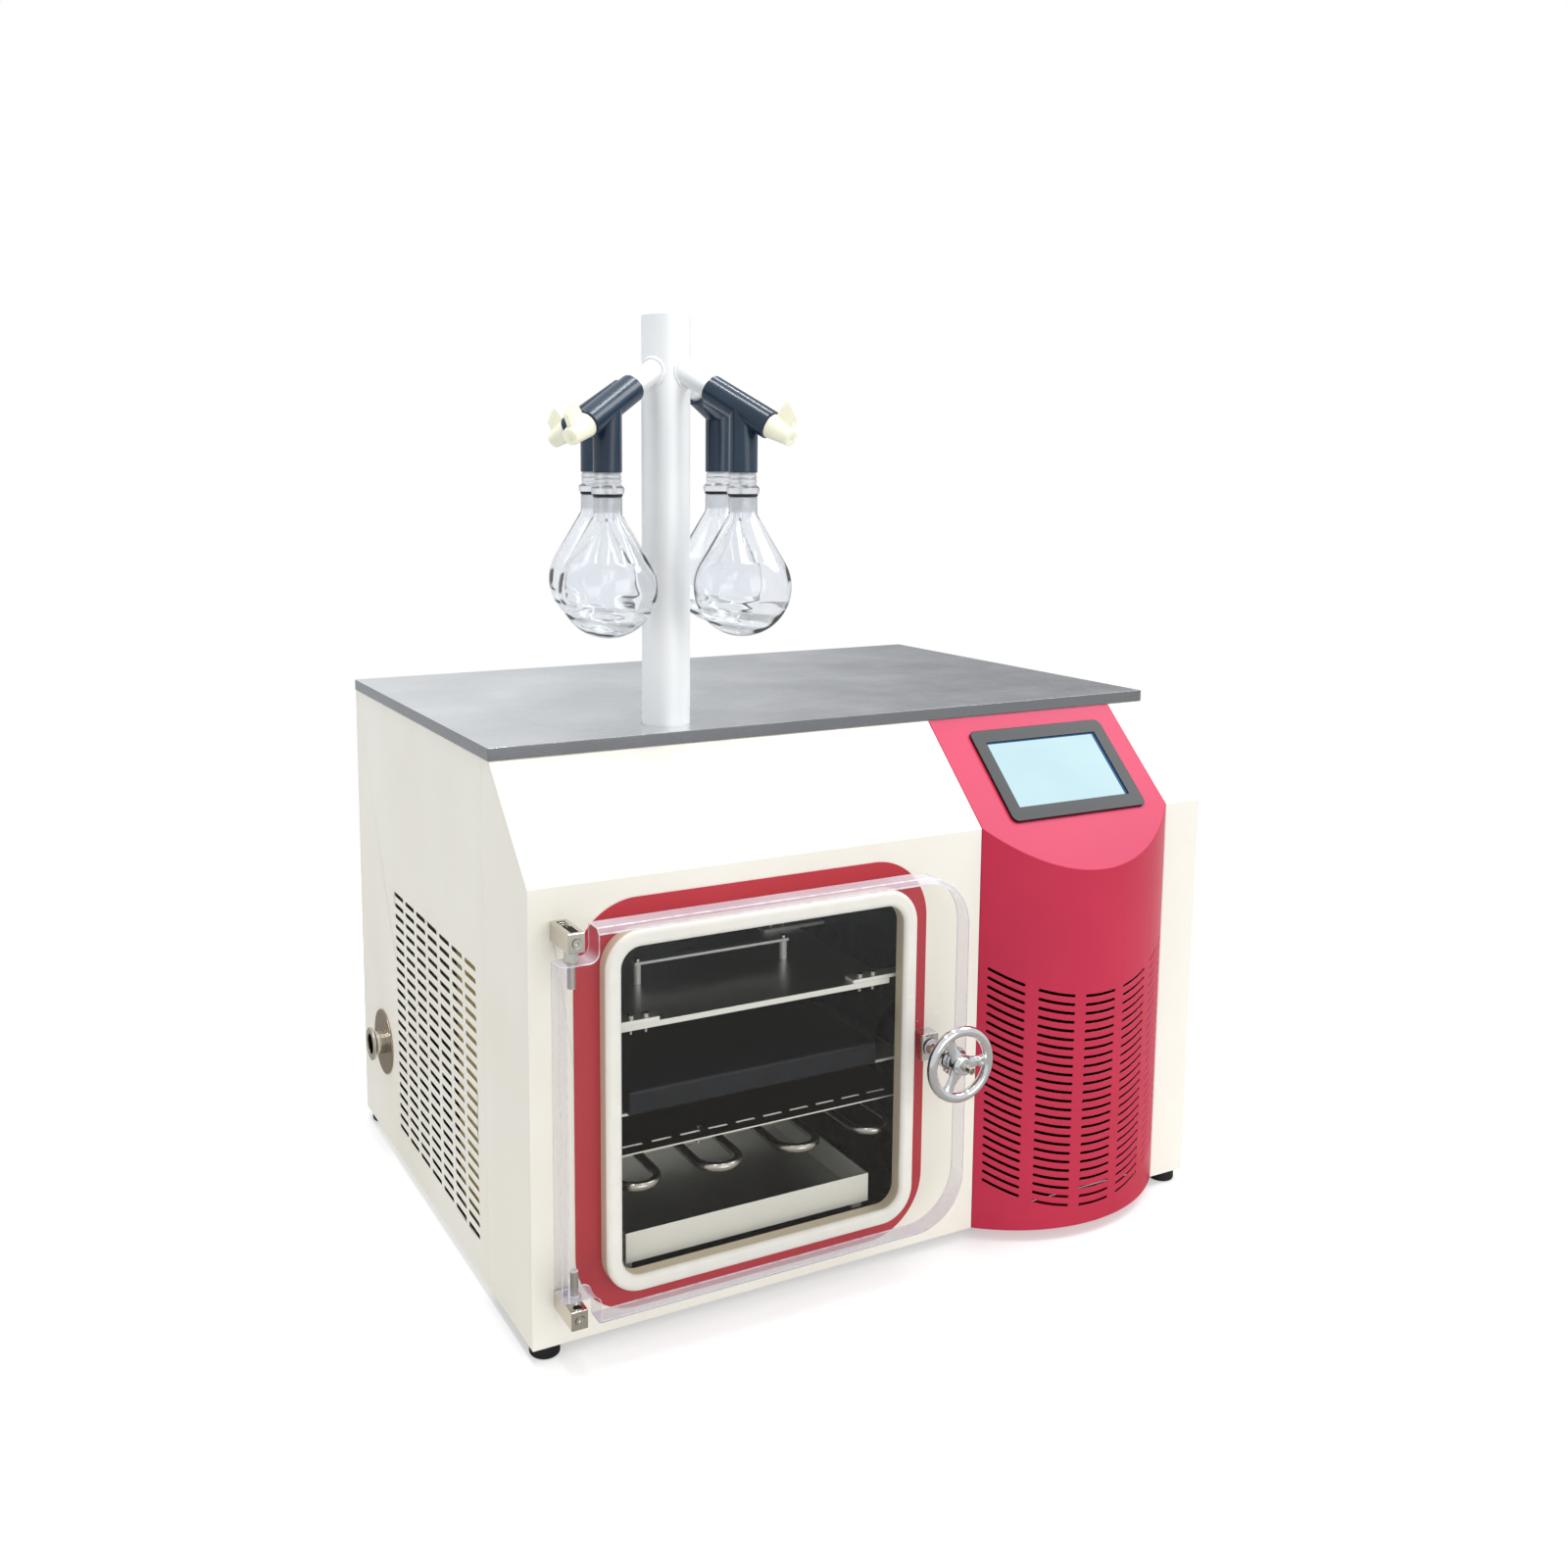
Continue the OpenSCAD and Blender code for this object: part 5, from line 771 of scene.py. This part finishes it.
def valve(i):
    """Rubber valve: a sloping barrel, and an upright leg whose top is shaped to
    the barrel's underside."""
    near, far = BARREL_NEAR / math.cos(BRANCH_SLOPE), BARREL_FAR / math.cos(BRANCH_SLOPE)
    barrel = rounded([(PLUG_BORE, near, 0.4), (VALVE_RADIUS, near, 1), (VALVE_RADIUS, far, 1),
                      (PLUG_BORE, far, 0.4)])
    leg = rounded([(LEG_BORE, LEG_LOW, 0.4), (VALVE_RADIUS, LEG_LOW, 1), (VALVE_RADIUS, LEG_TOP, 0),
                   (LEG_BORE, LEG_TOP, 0)])
    bearing = math.atan2(branch_way(i).y, branch_way(i).x)

    def saddle(angle, radius, high):
        """Brings the leg's top down to just inside the barrel's wall."""
        if high < LEG_TOP:
            return 0, 0
        along, across = radius * math.cos(angle - bearing), radius * math.sin(angle - bearing)
        hide = VALVE_RADIUS - 0.3 if radius > LEG_BORE else PLUG_BORE + 0.3
        deep = math.sqrt(max(hide ** 2 - across ** 2, 0)) / math.cos(BRANCH_SLOPE)
        return 0, -along * math.tan(BRANCH_SLOPE) - deep

    build = bmesh.new()
    spin(build, barrel, at(POST_X, POST_Y, BRANCH_Z), branch_axis(i))
    spin(build, leg, leg_foot(i, 0), (0, 0, 1), 96, saddle)
    return mesh_of(f"rubber_valve_{i}", build)


for i in BRANCHES:
    piece(f"rubber_valve_{i}", valve(i), "cabinet", [valve_rubber], f"valve_body_{i}")

NECK_TOP, NECK_LOW, BULB_Z = 797.5, 780, 708
NECK_RADIUS, NECK_BORE, BULB_RADIUS = 14.15, 11.2, 49
GLASS_WALL = 2


def pear(bulb, neck, neck_low):
    """Half outline of a pear: a round bulb from its lowest point to where a
    straight shoulder leaves it for the neck's foot. Bulb and neck are radii."""
    rise = neck_low - BULB_Z
    leave = math.atan2(rise, neck) - math.acos(bulb / math.hypot(neck, rise))
    points = [(0, BULB_Z - bulb)]
    steps = 40
    for s in range(1, steps + 1):
        angle = -math.pi / 2 + (leave + math.pi / 2) * s / steps
        points.append((bulb * math.cos(angle), BULB_Z + bulb * math.sin(angle)))
    return points


def flask(i):
    """Blown pear-shaped flask, a shade uneven inside, with a ground socket and
    a fire-polished lip."""
    bulb, neck_inside = BULB_RADIUS - 0.1, NECK_LOW - 6
    outer = pear(bulb, NECK_RADIUS, NECK_LOW)
    socket = [(NECK_RADIUS, NECK_LOW), (NECK_RADIUS, NECK_TOP - 1.2), (13.8, NECK_TOP - 0.3),
              (13.1, NECK_TOP), (12.4, NECK_TOP - 0.4), (12.1, NECK_TOP - 1.2), (NECK_BORE, neck_inside)]
    inner = pear(bulb - GLASS_WALL, NECK_BORE, neck_inside)
    inner[0] = (0, BULB_Z - BULB_RADIUS + 3.2)      # the glass is thickest at the bottom

    def uneven(angle, radius, high):
        """The waves that blowing leaves inside, strongest low in the bulb."""
        from_centre = math.hypot(radius, high - BULB_Z)
        inside = radius < from_centre < BULB_RADIUS - 1
        if not inside or high > NECK_LOW - 8:
            return 0, 0
        share = min(radius / 16, 1)
        low = max(0, min(1, (BULB_Z - 2 - high) / 20))
        return share * (0.3 * math.sin(3 * angle + high / 9) + 0.22 * math.sin(5 * angle - high / 6 + i)
                        + 0.06 * math.sin(11 * angle + i)
                        + 0.55 * low * math.sin(2 * angle + high / 2.2 + i)), 0

    build = bmesh.new()
    spin(build, outer + socket + inner[::-1], leg_foot(i, 0), (0, 0, 1), 96, uneven)
    return mesh_of(f"pear_flask_{i}", build)


COLLAR_LOW = 800.5


def adapter(i):
    """Moulded glass adapter: a spigot in the valve's leg, ribs to grip, a
    flared collar over the ring, and a cone ground to fit the flask."""
    outline = rounded([
        (6.5, 773, 0.4), (10.8, 773, 0.6), (11.9, COLLAR_LOW, 0.3), (15.8, COLLAR_LOW, 0.8), (16.5, 806, 1.6),
        (13.2, 809.4, 1.2), (12.4, 810.6, 0.6), (13.5, 811.8, 1.0), (13.5, 814.2, 1.0), (12.5, 815.2, 0.5),
        (13.5, 816.2, 1.0), (13.5, 818.2, 1.0), (12.5, 819.2, 0.5), (12.9, 820.8, 0.5), (9.0, 820.8, 0.2),
        (9.0, 838.5, 0.6), (6.5, 838.5, 0.6)], 5)
    build = bmesh.new()
    spin(build, outline, leg_foot(i, 0), (0, 0, 1), 72)
    return mesh_of(f"ground_adapter_{i}", build)


for i in BRANCHES:
    piece(f"pear_flask_{i}", flask(i), "cabinet", [labware_glass], f"flask_{i}")
    piece(f"ground_adapter_{i}", adapter(i), "cabinet", [labware_glass], f"glass_adapter_{i}")

# ------------------------------------------------------------------- floor


def studio_floor():
    """Matt white floor that thins out into the white backdrop, and that polished
    things mirror as the darker floor of a workshop."""
    made, tree = finish("painted_floor")
    spot = add(tree, "ShaderNodeTexCoord").outputs["Object"]
    far = add(tree, "ShaderNodeVectorMath", {0: spot}, operation="LENGTH")
    fade = add(tree, "ShaderNodeMapRange", {"Value": far.outputs["Value"], "From Min": 0.75, "From Max": 1.9},
               interpolation_type="SMOOTHSTEP")
    paint = add(tree, "ShaderNodeBsdfPrincipled", {
        "Base Color": linear("#C4C4C4"), "Roughness": 0.85,
        "Emission Color": linear("#FFFFFF"), "Emission Strength": 0.45})
    mirrored_floor = add(tree, "ShaderNodeBsdfDiffuse", {"Color": linear("#9A9894")})
    ray = add(tree, "ShaderNodeLightPath")
    plain = add(tree, "ShaderNodeMixShader", {0: ray.outputs["Is Glossy Ray"], 1: paint.outputs[0],
                                              2: mirrored_floor.outputs[0]})
    air = add(tree, "ShaderNodeBsdfTransparent")
    thinned = add(tree, "ShaderNodeMixShader", {0: fade.outputs[0], 1: plain.outputs[0], 2: air.outputs[0]})
    add(tree, "ShaderNodeOutputMaterial", {"Surface": thinned.outputs[0]})
    return made


floor_mesh = bpy.data.meshes.new("floor")
floor_mesh.from_pydata([(-2, -2, 0), (2, -2, 0), (2, 2, 0), (-2, 2, 0)], [], [(0, 1, 2, 3)])
floor_mesh.materials.append(studio_floor())
floor = bpy.data.objects.new("floor", floor_mesh)
bpy.context.scene.collection.objects.link(floor)
